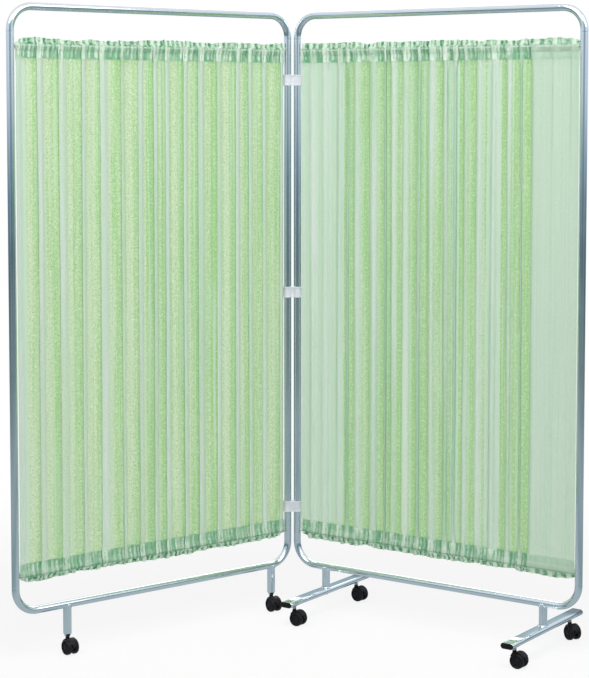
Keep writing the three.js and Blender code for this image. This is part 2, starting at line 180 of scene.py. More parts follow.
def turned(profile, sides=TURNED_SIDES):
    """A turned part about Z from (radius, height) points, with a single corner where the radius is nil."""
    corners, faces, rings = [], [], []
    for radius, height in profile:
        start = len(corners)
        if radius < 1e-7:
            corners.append((0, 0, height))
            rings.append([start] * sides)
            continue
        corners += [(radius * math.cos(a), radius * math.sin(a), height) for a in angles_round(sides)]
        rings.append(list(range(start, start + sides)))
    for low, high in zip(rings, rings[1:]):
        for k in range(sides):
            m = (k + 1) % sides
            face = list(dict.fromkeys([low[k], low[m], high[m], high[k]]))
            if len(face) > 2:
                faces.append(face)
    return corners, faces


def sweep(rings, closed=False):
    """A skin over rings of corners, one after the other, with flat ends unless it closes on itself."""
    rings = np.asarray(rings, float)
    count, sides, _ = rings.shape
    faces = grid_faces(count, sides, round_rows=closed)
    if not closed:
        faces.append(list(range(sides))[::-1])
        faces.append([(count - 1) * sides + k for k in range(sides)])
    return rings.reshape(-1, 3), faces


def slab(outline, width, edge):
    """A plate from a closed (x, z) outline, centred on Y, with its two rims rounded."""
    shape = bmesh.new()
    face = shape.faces.new([shape.verts.new((x, -width / 2, z)) for x, z in outline])
    raised = bmesh.ops.extrude_face_region(shape, geom=[face])
    lifted = [v for v in raised["geom"] if isinstance(v, bmesh.types.BMVert)]
    bmesh.ops.translate(shape, verts=lifted, vec=(0, width, 0))
    bmesh.ops.recalc_face_normals(shape, faces=shape.faces)
    rims = [e for e in shape.edges if abs(e.verts[0].co.y - e.verts[1].co.y) < 1e-9]
    bmesh.ops.bevel(
        shape, geom=rims, offset=edge, offset_type="OFFSET", segments=3, profile=0.5,
        affect="EDGES", clamp_overlap=True,
    )
    shape.verts.index_update()
    corners = [tuple(v.co) for v in shape.verts]
    faces = [[v.index for v in f.verts] for f in shape.faces]
    shape.free()
    return corners, faces


def arc(radius, start, end, steps, centre):
    """Points on an arc, in degrees."""
    angles = [math.radians(start + (end - start) * k / steps) for k in range(steps + 1)]
    return [(centre[0] + radius * math.cos(a), centre[1] + radius * math.sin(a)) for a in angles]


def dressed(name, mesh, finish, body, nodes):
    """A mesh with its finish, as an object that rides on a body and stands for the nodes it names."""
    mesh.materials.append(FINISHES[finish])
    made = new_object(name, mesh)
    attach(made, body)
    if nodes:
        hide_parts(*nodes)
    return made


def piece(name, shape, finish, body, nodes=(), sharp=38.0):
    """A shape as a dressed object, with hard edges where its faces turn by more than some degrees."""
    mesh = new_mesh(name, np.concatenate(shape.corners), shape.faces)
    mesh.validate()
    grain = mesh.attributes.new("grain", "FLOAT_VECTOR", "POINT")
    grain.data.foreach_set("vector", np.concatenate(shape.grain).ravel())
    mesh.shade_smooth()
    solid = bmesh.new()
    solid.from_mesh(mesh)
    bmesh.ops.recalc_face_normals(solid, faces=solid.faces)
    solid.to_mesh(mesh)
    solid.free()
    mesh.set_sharp_from_angle(angle=math.radians(sharp))
    return dressed(name, mesh, finish, body, nodes)


# Materials

def srgb(red, green, blue):
    """A colour of 0 to 255 as the numbers that Blender takes."""
    parts = [c / 255 for c in (red, green, blue)]
    return tuple(c / 12.92 if c <= 0.04045 else ((c + 0.055) / 1.055) ** 2.4 for c in parts) + (1.0,)


def colour_of(value):
    """Three numbers are a colour of 0 to 255. Anything else is a colour or a link already."""
    return srgb(*value) if isinstance(value, tuple) and len(value) == 3 else value


class Nodes:
    """The node tree of a new material or world, with short names for what goes into it."""

    def __init__(self, owner):
        owner.use_nodes = True
        self.owner, self.tree = owner, owner.node_tree
        self.tree.nodes.clear()

    def node(self, kind, inputs=None, **settings):
        """The outputs of a shader node with its settings, its numbers and its links."""
        made = self.tree.nodes.new("ShaderNode" + kind)
        for key, value in settings.items():
            setattr(made, key, value)
        for key, value in (inputs or {}).items():
            if isinstance(value, bpy.types.NodeSocket):
                self.tree.links.new(value, made.inputs[key])
            else:
                made.inputs[key].default_value = value
        return made.outputs

    def mix(self, share, first, second):
        """A colour between two others."""
        return self.node("Mix", {0: share, 6: colour_of(first), 7: colour_of(second)}, data_type="RGBA")[2]

    def over(self, colour, *layers):
        """A colour with others laid over it, each with its share."""
        for share, other in layers:
            colour = self.mix(share, colour, other)
        return colour

    def remap(self, value, low, high, to_low=0.0, to_high=1.0, **settings):
        return self.node("MapRange", {
            "Value": value, "From Min": low, "From Max": high, "To Min": to_low, "To Max": to_high,
        }, **settings)[0]

    def noise(self, place, scale, detail=2.0, roughness=0.5, distortion=0.0):
        """Noise on a place. Its scale is one number, or one for each axis."""
        if isinstance(scale, tuple):
            place = self.node("VectorMath", {0: place, 1: scale}, operation="MULTIPLY")[0]
            scale = 1.0
        return self.node("TexNoise", {
            "Vector": place, "Scale": scale, "Detail": detail, "Roughness": roughness,
            "Distortion": distortion,
        })["Fac"]

    def math(self, operation, first, second=0.0, clamp=False):
        return self.node("Math", {0: first, 1: second}, operation=operation, use_clamp=clamp)[0]

    def add(self, first, second, clamp=False):
        return self.math("ADD", first, second, clamp)

    def times(self, first, second):
        return self.math("MULTIPLY", first, second)

    def relief(self, height, strength, distance):
        return self.node("Bump", {"Height": height, "Strength": strength, "Distance": distance})[0]

    def told(self, name, kind="Fac"):
        """What the mesh tells about each of its corners."""
        return self.node("Attribute", attribute_name=name)[kind]

    def distance(self, place):
        return self.node("VectorMath", {0: place}, operation="LENGTH")["Value"]

    def blended(self, share, first, second):
        return self.node("MixShader", {0: share, 1: first, 2: second})[0]

    def is_seen(self):
        """One for what the camera sees directly, in metal or through the cloth."""
        path = self.node("LightPath")
        return self.add(self.add(path["Is Camera Ray"], path["Is Glossy Ray"]), path["Is Transmission Ray"])

    def finish(self, surface, output="OutputMaterial"):
        """Ends the tree in a surface, and gives what it belongs to."""
        self.node(output, {"Surface": surface})
        return self.owner

    def finish_solid(self, inputs):
        return self.finish(self.node("BsdfPrincipled", inputs)[0])


def new_finish(name):
    return Nodes(bpy.data.materials.new(name))


def chrome_tube():
    """Bright chromed steel with faint drawing lines along the tube and a haze of handling."""
    t = new_finish("chrome_tube")
    grain = t.told("grain", "Vector")
    haze = t.noise(grain, 9.0, 3.0)
    lines = t.noise(grain, (900.0, 900.0, 9.0))
    return t.finish_solid({
        "Base Color": t.mix(haze, (214, 222, 228), (232, 236, 239)), "Metallic": 1.0,
        "Roughness": t.add(t.remap(haze, 0.3, 0.7, 0.07, 0.13), t.remap(lines, 0.3, 0.7, 0.0, 0.04)),
        "Normal": t.relief(lines, 0.02, 0.0002),
    })


def zinc_steel():
    """Zinc-plated steel: duller, with a cloudy passivated layer."""
    t = new_finish("zinc_steel")
    place = t.node("TexCoord")["Object"]
    cloud = t.noise(place, 160.0, 4.0)
    return t.finish_solid({
        "Base Color": t.mix(cloud, (168, 172, 174), (206, 208, 204)), "Metallic": 1.0,
        "Roughness": t.remap(cloud, 0.3, 0.7, 0.3, 0.46),
        "Normal": t.relief(t.noise(place, 1600.0), 0.12, 0.0001),
    })


def white_plastic():
    """Moulded white plastic with a fine skin and a little grey handling dirt."""
    t = new_finish("white_plastic")
    place = t.node("TexCoord")["Object"]
    dirt = t.noise(place, 55.0, 4.0, 0.6)
    return t.finish_solid({
        "Base Color": t.mix(t.remap(dirt, 0.45, 0.75, 0.0, 0.6), (216, 219, 226), (194, 197, 205)),
        "Roughness": t.remap(dirt, 0.3, 0.7, 0.36, 0.5),
        "Normal": t.relief(t.noise(place, 1900.0), 0.1, 0.0001),
    })


def black_plastic():
    """Black moulded nylon with a fine spark-eroded grain, and a little dust where it meets the floor."""
    t = new_finish("black_plastic")
    place = t.node("TexCoord")["Object"]
    cloud = t.noise(place, 140.0, 4.0, 0.6)
    low = t.remap(t.node("SeparateXYZ", {0: place})[2], 0.0, 0.02, 1.0, 0.0)
    dust = t.times(t.remap(cloud, 0.45, 0.75, 0.0, 0.22), low)
    colour = t.mix(t.remap(cloud, 0.3, 0.7), (15, 12, 14), (27, 22, 25))
    return t.finish_solid({
        "Base Color": t.mix(dust, colour, (84, 80, 78)), "Specular IOR Level": 0.22,
        "Roughness": t.remap(cloud, 0.3, 0.7, 0.4, 0.55),
        "Normal": t.relief(t.noise(place, 1500.0, 3.0), 0.2, 0.0001),
    })


def voile_patterns(t):
    """What the mesh tells of each place on the cloth, and the patterns there."""
    cloth = t.node("UVMap", uv_map="cloth")[0]
    told = ("face", "steep", "band", "frill", "tone", "seam", "calm")
    p = SimpleNamespace(**{name: t.told(name) for name in told})

    # Streaks and patches, with their number in a metre across and along the cloth
    p.thin = t.noise(cloth, (190.0, 1.6, 1.0))
    p.wide = t.noise(cloth, (26.0, 2.2, 1.0))
    p.cloud = t.noise(cloth, (60.0, 22.0, 1.0))
    p.sheen = t.noise(cloth, (95.0, 1.1, 1.0), 1.0)
    p.patch = t.noise(cloth, (15.0, 0.9, 1.0), 1.0)
    p.blot = t.noise(cloth, (70.0, 110.0, 1.0), 2.0, 0.6)
    p.clump = t.noise(cloth, (34.0, 12.0, 1.0), 1.0)
    p.weave = t.noise(cloth, (2600.0, 2600.0, 1.0), 1.0)
    streak = t.remap(t.noise(cloth, (420.0, 1.0, 1.0)), 0.38, 0.62, -0.12, 0.12)
    p.face = t.add(p.face, streak, clamp=True)

    # The figure: crinkled spots, worm-like lines and flecks
    p.crinkle = t.remap(t.noise(cloth, 150.0, 1.0), 0.55, 0.66)
    figure = t.noise(cloth, 118.0, 1.0, 0.4, 0.6)
    p.worm = t.remap(t.math("ABSOLUTE", t.math("SUBTRACT", figure, 0.5)), 0.015, 0.05, 1.0, 0.0)
    p.fleck = t.remap(t.noise(cloth, (260.0, 200.0, 1.0), 1.0), 0.6, 0.68)

    # How green a valley is, broken up by the patterns
    p.green = p.tone
    for pattern, reach in ((p.wide, 0.2), (figure, 0.2), (p.thin, 0.3)):
        p.green = t.add(p.green, t.remap(pattern, 0.3, 0.7, -reach, reach))
    return p


def valley_colour(t, p):
    """Between the folds: from straw to leaf green and deeper, or mint. The greening and the deeper green are
    painted shade over the cloth's own random tone.
    """
    def figured(plain, wormed, crinkled, flecked):
        return t.over(plain, (p.worm, wormed), (p.crinkle, crinkled), (p.fleck, flecked))

    straw = figured((195, 219, 178), (172, 204, 150), (206, 224, 188), (150, 184, 118))
    leaf = figured((161, 207, 136), (142, 193, 115), (178, 216, 157), (128, 182, 112))
    mint = t.mix(t.times(p.worm, 0.5), (188, 216, 190), (170, 206, 172))
    # Painted shade: a deeper green in the greenest valleys, less on the crinkled spots
    deep_shade = t.times(t.remap(p.green, 0.85, 1.35, 0.0, 0.75), t.remap(p.crinkle, 0.0, 1.0, 1.0, 0.4))
    return t.over(
        straw,
        (t.remap(p.green, 0.25, 0.8), leaf),
        (deep_shade, (136, 192, 118)),
        (t.remap(p.sheen, 0.54, 0.68, 0.0, 0.6), (190, 216, 184)),
        (t.remap(p.wide, 0.6, 0.7, 0.0, 0.3), mint),
        (t.remap(p.tone, -0.02, -0.1), mint),
    )


def face_highlight_colour(t, p):
    """The faces of the folds, painted pale as a highlight."""
    return t.over(
        (191, 217, 198),
        (t.remap(p.thin, 0.35, 0.65), (212, 222, 214)),
        (t.times(p.worm, 0.5), (176, 208, 178)),
        (t.times(p.fleck, 0.5), (164, 202, 166)),
    )


def band_colour(t, p):
    """The doubled bands: teal, with emerald painted shade where their valleys are greenest, and pale puckers
    that are a painted highlight.
    """
    # Painted highlight on the crests of the puckers
    pucker_highlight = t.remap(t.add(p.face, t.remap(p.blot, 0.36, 0.64, -0.25, 0.25)), 0.15, 0.75)
    return t.over(
        (126, 190, 152),
        (t.remap(p.cloud, 0.35, 0.65), (192, 220, 194)),
        (t.remap(p.green, 0.9, 1.7), (78, 160, 112)),
        (t.remap(p.blot, 0.5, 0.64, 0.0, 0.5), (104, 174, 134)),
        (t.times(pucker_highlight, t.remap(p.clump, 0.38, 0.56, 0.25, 1.0)), (232, 244, 232)),
    )


# The ruffles: dark emerald, the doubled cloth deepened by painted shade, lighter in random blots, with a
# painted highlight on the faces of their folds
def ruffle_colour(t, p):
    return t.over(
        (88, 162, 118),
        (t.remap(p.blot, 0.42, 0.58), (184, 218, 188)),
        (t.remap(p.face, 0.25, 0.75, 0.0, 0.85), (236, 248, 237)),
    )


def calm_colour(t, p):
    """Where the cloth hangs calm."""
    return t.over(
        (182, 208, 184),
        (t.times(p.worm, 0.35), (169, 201, 172)),
        (t.remap(p.sheen, 0.5, 0.66, 0.0, 0.5), (163, 203, 174)),
        (t.remap(p.thin, 0.6, 0.45, 0.0, 0.35), (195, 215, 198)),
        (p.band, t.mix(p.cloud, (186, 213, 191), (206, 224, 208))),
    )


def green_voile():
    """Sheer gathered cloth with a small worm-like burnt-out figure. Its folds' faces are painted pale as a
    highlight, its valleys run from straw to leaf green with painted shade deepening them, and it turns teal
    where it is doubled. Painted highlight and shade also lie along the rods and in the ruffles."""
    t = new_finish("green_voile")
    p = voile_patterns(t)
    calm_share = t.times(p.calm, t.math("SUBTRACT", 1.0, t.times(p.frill, 0.8)))
    # Painted highlight along the top of the header rod
    header_rod_highlight = t.times(t.remap(p.cloud, 0.4, 0.6, 0.35, 0.9), t.remap(p.seam, 0.2, 0.9))
    colour = t.over(
        valley_colour(t, p),
        # Painted highlight: the folds' faces made pale
        (t.times(p.face, t.remap(p.patch, 0.36, 0.54, 0.6, 1.0)), face_highlight_colour(t, p)),
        # Painted shade: a teal line where the cloth turns edge-on at a fold's rise
        (t.remap(p.steep, 0.9, 1.0, 0.0, 0.6), (130, 206, 152)),
        (p.band, band_colour(t, p)),
        (p.frill, ruffle_colour(t, p)),
        (calm_share, calm_colour(t, p)),
        (header_rod_highlight, (226, 240, 226)),
        # Painted shade under the hem rod
        (t.remap(p.seam, -0.2, -0.9, 0.0, 0.6), (112, 172, 134)),
    )
    bump = t.relief(t.add(p.weave, p.worm), 0.25, 0.0003)
    face = t.node("BsdfPrincipled", {
        "Base Color": colour, "Roughness": 0.85, "Specular IOR Level": 0.2, "Sheen Weight": 0.1,
        "Normal": bump,
    })[0]
    glow = t.node("BsdfTranslucent", {"Color": colour, "Normal": bump})[0]
    open_share = t.remap(t.add(p.steep, t.add(p.worm, p.band)), 0.0, 1.4, 0.14, 0.02)
    return t.finish(t.blended(open_share, t.blended(0.35, face, glow), t.node("BsdfTransparent")[0]))


def thread():
    """Mercerised sewing thread in a deeper green."""
    t = new_finish("thread")
    twist = t.noise(t.told("grain", "Vector"), 2400.0, 1.0)
    return t.finish_solid({"Base Color": t.mix(twist, (150, 200, 164), (190, 222, 194)), "Roughness": 0.6})


FINISHES = {
    make.__name__: make()
    for make in (chrome_tube, zinc_steel, white_plastic, black_plastic, green_voile, thread)
}


# Frame loops and rods

BEND_RADIUS = 60 * MM
CLAMP_MARK_DEPTH = 0.14 * MM
CLAMP_MARK_WIDTH = 1.6 * MM
CLAMP_MARK_REACH = 5 * MM
CLAMP_MARK_STEPS = 5
BEND_FLATTENING_SHARE = 0.035
RAIL_STEP = 110 * MM
ROD_SIDES = 24
ROD_EDGE_SHARE = 0.25


def loop_stations(width, low_z, high_z):
    """Stations round a rounded loop: centre (x, z), the way out of the bend, the bend's progress, and the
    distance to the nearest bend's end on a straight."""
    r = BEND_RADIUS
    middles = [(width - r, high_z - r), (r, high_z - r), (r, low_z + r), (width - r, low_z + r)]
    stations = []
    for k, (cx, cz) in enumerate(middles):
        for step in range(BEND_STEPS + 1):
            share = step / BEND_STEPS
            angle = (k + share) * math.pi / 2
            stations.append((cx + r * math.cos(angle), cz + r * math.sin(angle), angle, share, 0.0))
        angle = (k + 1) * math.pi / 2
        nx, nz = middles[(k + 1) % 4]
        begin = Vector((cx + r * math.cos(angle), cz + r * math.sin(angle)))
        end = Vector((nx + r * math.cos(angle), nz + r * math.sin(angle)))
        length = (end - begin).length
        marks = [d * CLAMP_MARK_REACH / CLAMP_MARK_STEPS for d in range(1, 2 * CLAMP_MARK_STEPS + 1)]
        plain = length - 2 * marks[-1]
        count = max(1, round(plain / RAIL_STEP))
        inner = [marks[-1] + plain * i / count for i in range(1, count)]
        for d in marks + inner + [length - m for m in reversed(marks)]:
            at = begin.lerp(end, d / length)
            stations.append((at.x, at.y, angle, 0.0, min(d, length - d)))
    return stations


def frame_loop(place, node_name):
    """The tube of one panel, a little flattened in its bends, with the bender's clamp marks beside them."""
    low, high = place.span(node_name)
    radius = (high[1] - low[1]) / 2
    stations = loop_stations(high[0] - low[0] - 2 * radius, low[2] + radius, high[2] - radius)
    rings, grain, travel = [], [], 0.0
    before = stations[0]
    for station in stations:
        x, z, angle, share, distance = station
        travel += math.hypot(x - before[0], z - before[1])
        before = station
        squeeze = math.sin(math.pi * share) * BEND_FLATTENING_SHARE
        mark = 0.0
        if distance > 0:
            mark = CLAMP_MARK_DEPTH * math.exp(-((distance - CLAMP_MARK_REACH) / CLAMP_MARK_WIDTH) ** 2)
        ring = []
        for around in angles_round(TUBE_SIDES):
            out = (radius - mark) * (1 - squeeze) * math.cos(around)
            side = (radius - mark) * (1 + squeeze / 2) * math.sin(around)
            ring.append((x + out * math.cos(angle), side, z + out * math.sin(angle)))
            grain.append((radius * math.cos(around), radius * math.sin(around), travel))
        rings.append(ring)
    return Shape().add(place, sweep(rings, closed=True), grain), radius


def rod_shape(place, node_name):
    """A curtain rod with softened ends."""
    low, high = place.span(node_name)
    radius, z = (high[2] - low[2]) / 2, (high[2] + low[2]) / 2
    profile = softened(
        [(0, low[0]), (radius, low[0]), (radius, high[0]), (0, high[0])], radius * ROD_EDGE_SHARE,
    )
    rod = turned(profile, ROD_SIDES)
    return Shape().add(place, moved(rod, lambda x, y, h: (h, x, y + z)), rod[0])


# Posts and welds

BEAD_RADIUS = 1.5 * MM
BEAD_RIPPLES = 34
BEAD_RIPPLE = 0.22 * MM
BEAD_SIDES = 10
POST_WALL = 2 * MM
POST_OVERLAP = 3 * MM
NECK_RADIUS = 6.5 * MM
NECK_WALL = 1.2 * MM
NECK_DEPTH = 1 * MM
NECK_TAPER = 0.2 * MM
NECK_HEIGHT = 1.2 * MM
SWAGE_HEIGHT = 9 * MM
SWAGE_END = 15 * MM
SWAGE_SOFTNESS = 1.6 * MM
FLARE = 3.2 * MM
FLARE_STEPS = 8
FLARE_END = 4 * MM


def cope_height(rail_z, rail_radius, y, top):
    """Where a post's wall ends under the rail, at a distance y from the rail's middle plane."""
    if abs(y) >= rail_radius:
        return top
    return min(top, rail_z - math.sqrt(rail_radius ** 2 - y ** 2))


def bead(points, outward):
    """A weld bead with ripples along a closed line."""
    rings = []
    count = len(points)
    for i, p in enumerate(points):
        along = (Vector(points[(i + 1) % count]) - Vector(points[i - 1])).normalized()
        out = Vector(outward[i])
        up = along.cross(out).normalized()
        size = BEAD_RADIUS + BEAD_RIPPLE * math.sin(2 * math.pi * BEAD_RIPPLES * i / count)
        rings.append([
            Vector(p) + (out * math.cos(a) + up * math.sin(a)) * size for a in angles_round(BEAD_SIDES)
        ])
    return sweep(rings, closed=True)


def swaged_end(radius, bottom):
    """The profile of a post's lower end that is drawn in to a neck round a caster's socket."""
    bore = NECK_RADIUS - NECK_WALL
    return softened([
        (bore, bottom + NECK_DEPTH), (bore, bottom), (NECK_RADIUS, bottom),
        (NECK_RADIUS + NECK_TAPER, bottom + NECK_HEIGHT), (radius, bottom + SWAGE_HEIGHT),
        (radius, bottom + SWAGE_END),
    ], SWAGE_SOFTNESS)


def flared_end(radius, bottom):
    """The profile of a post's lower end that runs out into its weld on a foot."""
    quarter = [math.pi / 2 * k / FLARE_STEPS for k in range(FLARE_STEPS + 1)]
    flare = [(radius + FLARE * (1 - math.sin(a)), bottom + FLARE * (1 - math.cos(a))) for a in quarter]
    return [(radius - POST_WALL, bottom)] + flare + [(radius, bottom + FLARE + FLARE_END)]


def post_shape(place, node_name, rail_radius, rail_z, lower_end):
    """A post coped to the rail with a weld bead round the cope. lower_end gives its lower profile."""
    low, high = place.span(node_name)
    cx, cy, _ = (low + high) / 2
    radius = (high[1] - low[1]) / 2
    lower = lower_end(radius, low[2])
    outward = [(math.cos(a), math.sin(a), 0) for a in angles_round(2 * TUBE_SIDES)]
    rings = [[(cx + r * c, cy + r * s, z) for c, s, _ in outward] for r, z in lower]
    top = high[2] + POST_OVERLAP
    cope = [
        (cx + radius * c, cy + radius * s, cope_height(rail_z, rail_radius, cy + radius * s, top))
        for c, s, _ in outward
    ]
    base = lower[-1][1]
    for share in (0.5, 0.9):
        rings.append([(x, y, base + (z - base) * share) for x, y, z in cope])
    rings.append(cope)
    post = sweep(rings)
    shape = Shape().add(place, post, [(x - cx, y - cy, z) for x, y, z in post[0]])
    return shape.add(place, bead(cope, outward))


# Cross feet

FOOT_WALL = 1.5 * MM
CUT_EDGE = 0.5 * MM
BOLT_RADIUS = 4 * MM
BOLT_CHAMFER = 0.6 * MM
BOLT_SIDES = 32
HEAD_HEIGHT = 4.5 * MM

# A bolt head's rings upwards from its face: share of its reach, and height
HEAD_RINGS = [
    (0.72, 0.0), (0.90, 0.0), (1.0, 0.5 * MM), (1.0, HEAD_HEIGHT - 0.3 * MM), (0.98, HEAD_HEIGHT),
]

# An end cap's rings, from inside the tube over the flange to its sunk middle: how far back from the
# flange's face, and how far in from the rim
CAP_RINGS = [
    (8.5 * MM, 2.4 * MM), (2.5 * MM, 2.2 * MM), (2.5 * MM, 0.3 * MM), (2.0 * MM, 0.0), (1.1 * MM, 0.0),
    (0.5 * MM, 0.35 * MM), (0.12 * MM, 1.0 * MM), (0.0, 1.9 * MM), (0.05 * MM, 2.6 * MM),
    (0.6 * MM, 3.1 * MM), (0.7 * MM, 3.8 * MM), (0.7 * MM, 6.0 * MM),
]


def oval_ring(low, high, rim, y):
    """A ring of corners at y round the flat oval between two corners, less a rim."""
    cx, _, cz = (low + high) / 2
    width, _, thickness = high - low - 2 * rim
    radius = thickness / 2
    reach = width / 2 - radius
    right = arc(radius, -90, 90, OVAL_STEPS, (reach, 0.0))
    left = arc(radius, 90, 270, OVAL_STEPS, (-reach, 0.0))
    return [(cx + x, y, cz + h) for x, h in right + left]


def foot_shape(place, node_name):
    """The flat-oval tube of a foot with its cut ends turned in a little."""
    low, high = place.span(node_name)
    ends = [(0, FOOT_WALL), (0, CUT_EDGE), (CUT_EDGE, 0)]
    rings = [oval_ring(low, high, rim, low[1] + d) for d, rim in ends]
    for share in (0.2, 0.4, 0.6, 0.8):
        rings.append(oval_ring(low, high, 0, low[1] + (high[1] - low[1]) * share))
    rings += [oval_ring(low, high, rim, high[1] - d) for d, rim in reversed(ends)]
    tube = sweep(rings)
    return Shape().add(place, tube, [(x, z, y) for x, y, z in tube[0]])


def cap_shape(place, node_name, outward):
    """An oval end cap: a domed face with a soft rim and a shallow sunk middle."""
    low, high = place.span(node_name)
    face = high[1] if outward > 0 else low[1]
    return Shape().add(place, sweep([oval_ring(low, high, rim, face - outward * d) for d, rim in CAP_RINGS]))


def bolt_shape(place, node_name):
    """A hexagon head with a chamfered face and a washer ring, under the foot, and the shank above it."""
    low, high = place.span(node_name)
    cx, cy, _ = (low + high) / 2
    reach = (high[1] - low[1]) / 2
    shape = Shape().add(place, sweep([[
        (cx + reach * share * math.cos(a), cy + reach * share * math.sin(a), low[2] + z)
        for a in angles_round(6)
    ] for share, z in HEAD_RINGS]))
    in_head = low[2] + HEAD_HEIGHT / 2
    shank = turned([
        (0, in_head), (BOLT_RADIUS, in_head), (BOLT_RADIUS, high[2] - BOLT_CHAMFER),
        (BOLT_RADIUS - BOLT_CHAMFER, high[2]), (0, high[2]),
    ], BOLT_SIDES)
    return shape.add(place, moved(shank, lambda x, y, z: (x + cx, y + cy, z)))


# Casters

WHEEL_BORE_RADIUS = 3 * MM
WHEEL_INNER_EDGE = 1.6 * MM
WHEEL_EDGE = 1.2 * MM
WHEEL_SOFTNESS = 0.9 * MM
HUB_RADIUS = 6.5 * MM
LIP_WIDTH = 2.8 * MM
FACE_SINK = 2.6 * MM
WHEEL_RIBS = 6
RIB_FOOT_HALF = 1.1 * MM
RIB_TIP_HALF = 1.5 * MM
RIB_EDGE = 0.5 * MM
HUB_TO_RIB = 0.4 * MM
LIP_TO_RIB = 1.6 * MM
HOOD_GAP = 1 * MM
HOOD_THICKNESS = 1.4 * MM
HOOD_EDGE = 0.5 * MM
WEB_WIDTH = 9 * MM
WEB_RADIUS = 13 * MM
WEB_INSET = 0.2 * MM
WEB_EDGE = 0.7 * MM
FORK_NECK_RADIUS = 5.5 * MM
FORK_NECK_EDGE = 0.2 * MM
FORK_NECK_INSET = 0.1 * MM
FORK_NECK_SOFTNESS = 1.4 * MM
WHEEL_TOP = 18.6 * MM
PIN_RADIUS = 3 * MM
SHANK_RADIUS = 4 * MM
SHOULDER_RADIUS = 5 * MM
STEM_GAP = 0.3 * MM
STEM_SOFTNESS = 0.35 * MM
INSERT_BORE_RADIUS = 4.3 * MM
INSERT_RADIUS = 5.5 * MM
FLANGE_RADIUS = 7 * MM
FLANGE_HEIGHT = 0.8 * MM
FLANGE_SOFTNESS = 0.2 * MM

# The outer side of a wheel from its tread to the sunk face: how far in from the tread, and how far back.
# Then from the sunk face over the hub: radius, and how far back.
WHEEL_RIM = [
    (0, 3.4 * MM), (WHEEL_EDGE, 0.8 * MM), (LIP_WIDTH, 0), (LIP_WIDTH + 1.6 * MM, 0.2 * MM),
    (LIP_WIDTH + 2.2 * MM, FACE_SINK),
]
WHEEL_HUB = [
    (HUB_RADIUS + 1.2 * MM, FACE_SINK), (HUB_RADIUS, 0.9 * MM), (HUB_RADIUS - 2 * MM, 0.2 * MM), (0, 0),
]

# The levels of a rib, from its root in the sunk face: how far back from the wheel's outer side, and the
# shares of its length and width
RIB_LEVELS = [(2.9 * MM, 1.0, 1.0), (1.3 * MM, 1.0, 1.0), (1.0 * MM, 0.97, 0.8)]

# The flare of a fork's neck: radius, and height over the axle
FORK_FLARE = [(10.5 * MM, 6 * MM), (8.5 * MM, 13 * MM), (5.9 * MM, 17.5 * MM)]


def caster_place(name):
    """The stem's axis, with X towards the axle."""
    stem = middle(f"{name}_caster_stem")
    axle = middle(f"{name}_caster_wheel_a", f"{name}_caster_wheel_b")
    return Place(stem, axle - stem)


def wheel_shape(place, node_name):
    """A wheel with a rounded tread, a sunk face with ribs and a domed hub."""
    low, high = place.span(node_name)
    trail, _, height = (low + high) / 2
    radius = (high[2] - low[2]) / 2
    side = 1 if high[1] > 0 else -1
    inner, outer = (low[1], high[1]) if side > 0 else (-high[1], -low[1])
    tyre = turned(softened([
        (WHEEL_BORE_RADIUS, inner), (radius - WHEEL_INNER_EDGE, inner), (radius, inner + WHEEL_EDGE),
        *((radius - d, outer - back) for d, back in WHEEL_RIM), *((r, outer - back) for r, back in WHEEL_HUB),
    ], WHEEL_SOFTNESS))
    shape = Shape().add(place, moved(tyre, lambda x, y, h: (trail + x, side * h, height - y)))
    start, end = HUB_RADIUS + HUB_TO_RIB, radius - LIP_WIDTH - LIP_TO_RIB
    outline = softened([
        (start, -RIB_FOOT_HALF), (end, -RIB_TIP_HALF), (end, RIB_TIP_HALF), (start, RIB_FOOT_HALF),
    ], RIB_EDGE, 2, closed=True)
    rib = sweep([
        [(start + (x - start) * long, z * wide, outer - back) for x, z in outline]
        for back, long, wide in RIB_LEVELS
    ])
    for angle in angles_round(WHEEL_RIBS):
        c, s = math.cos(angle), math.sin(angle)
        shape.add(place, moved(
            rib, lambda x, y, h: (trail + (x * c - y * s), side * h, height - (x * s + y * c)),
        ))
    return shape


def housing_shape(place, name):
    """The fork between the wheels: a web, a hood over both wheels and a neck that flares into the hood."""
    wheel_low, wheel_high = place.span(f"{name}_caster_wheel_a")
    trail, _, height = (wheel_low + wheel_high) / 2
    low, high = place.span(f"{name}_caster_housing")
    top = high[2]
    inner = (wheel_high[2] - wheel_low[2]) / 2 + HOOD_GAP
    outer = inner + HOOD_THICKNESS
    centre = (trail, height)
    web = arc(outer - WEB_INSET, 8, 172, 48, centre) + arc(WEB_RADIUS, 198, 342, 30, centre)
    hood = arc(outer, 30, 150, 44, centre) + arc(inner, 150, 30, 44, centre)
    shape = Shape().add(place, slab(web, WEB_WIDTH, WEB_EDGE))
    shape.add(place, slab(hood, high[1] - low[1], HOOD_EDGE))
    over_wheels = height + WHEEL_TOP
    flare = [(radius, height + z) for radius, z in FORK_FLARE]
    neck = turned(softened([
        (0, flare[0][1]), *flare, (FORK_NECK_RADIUS, over_wheels), (FORK_NECK_RADIUS, top - FORK_NECK_EDGE),
        (FORK_NECK_RADIUS - FORK_NECK_EDGE, top), (0, top),
    ], FORK_NECK_SOFTNESS), 40)
    half = WEB_WIDTH / 2 - FORK_NECK_INSET
    return shape.add(place, moved(
        neck, lambda x, y, z: (x, max(-half, min(half, y)) if z < over_wheels else y, z),
    ))


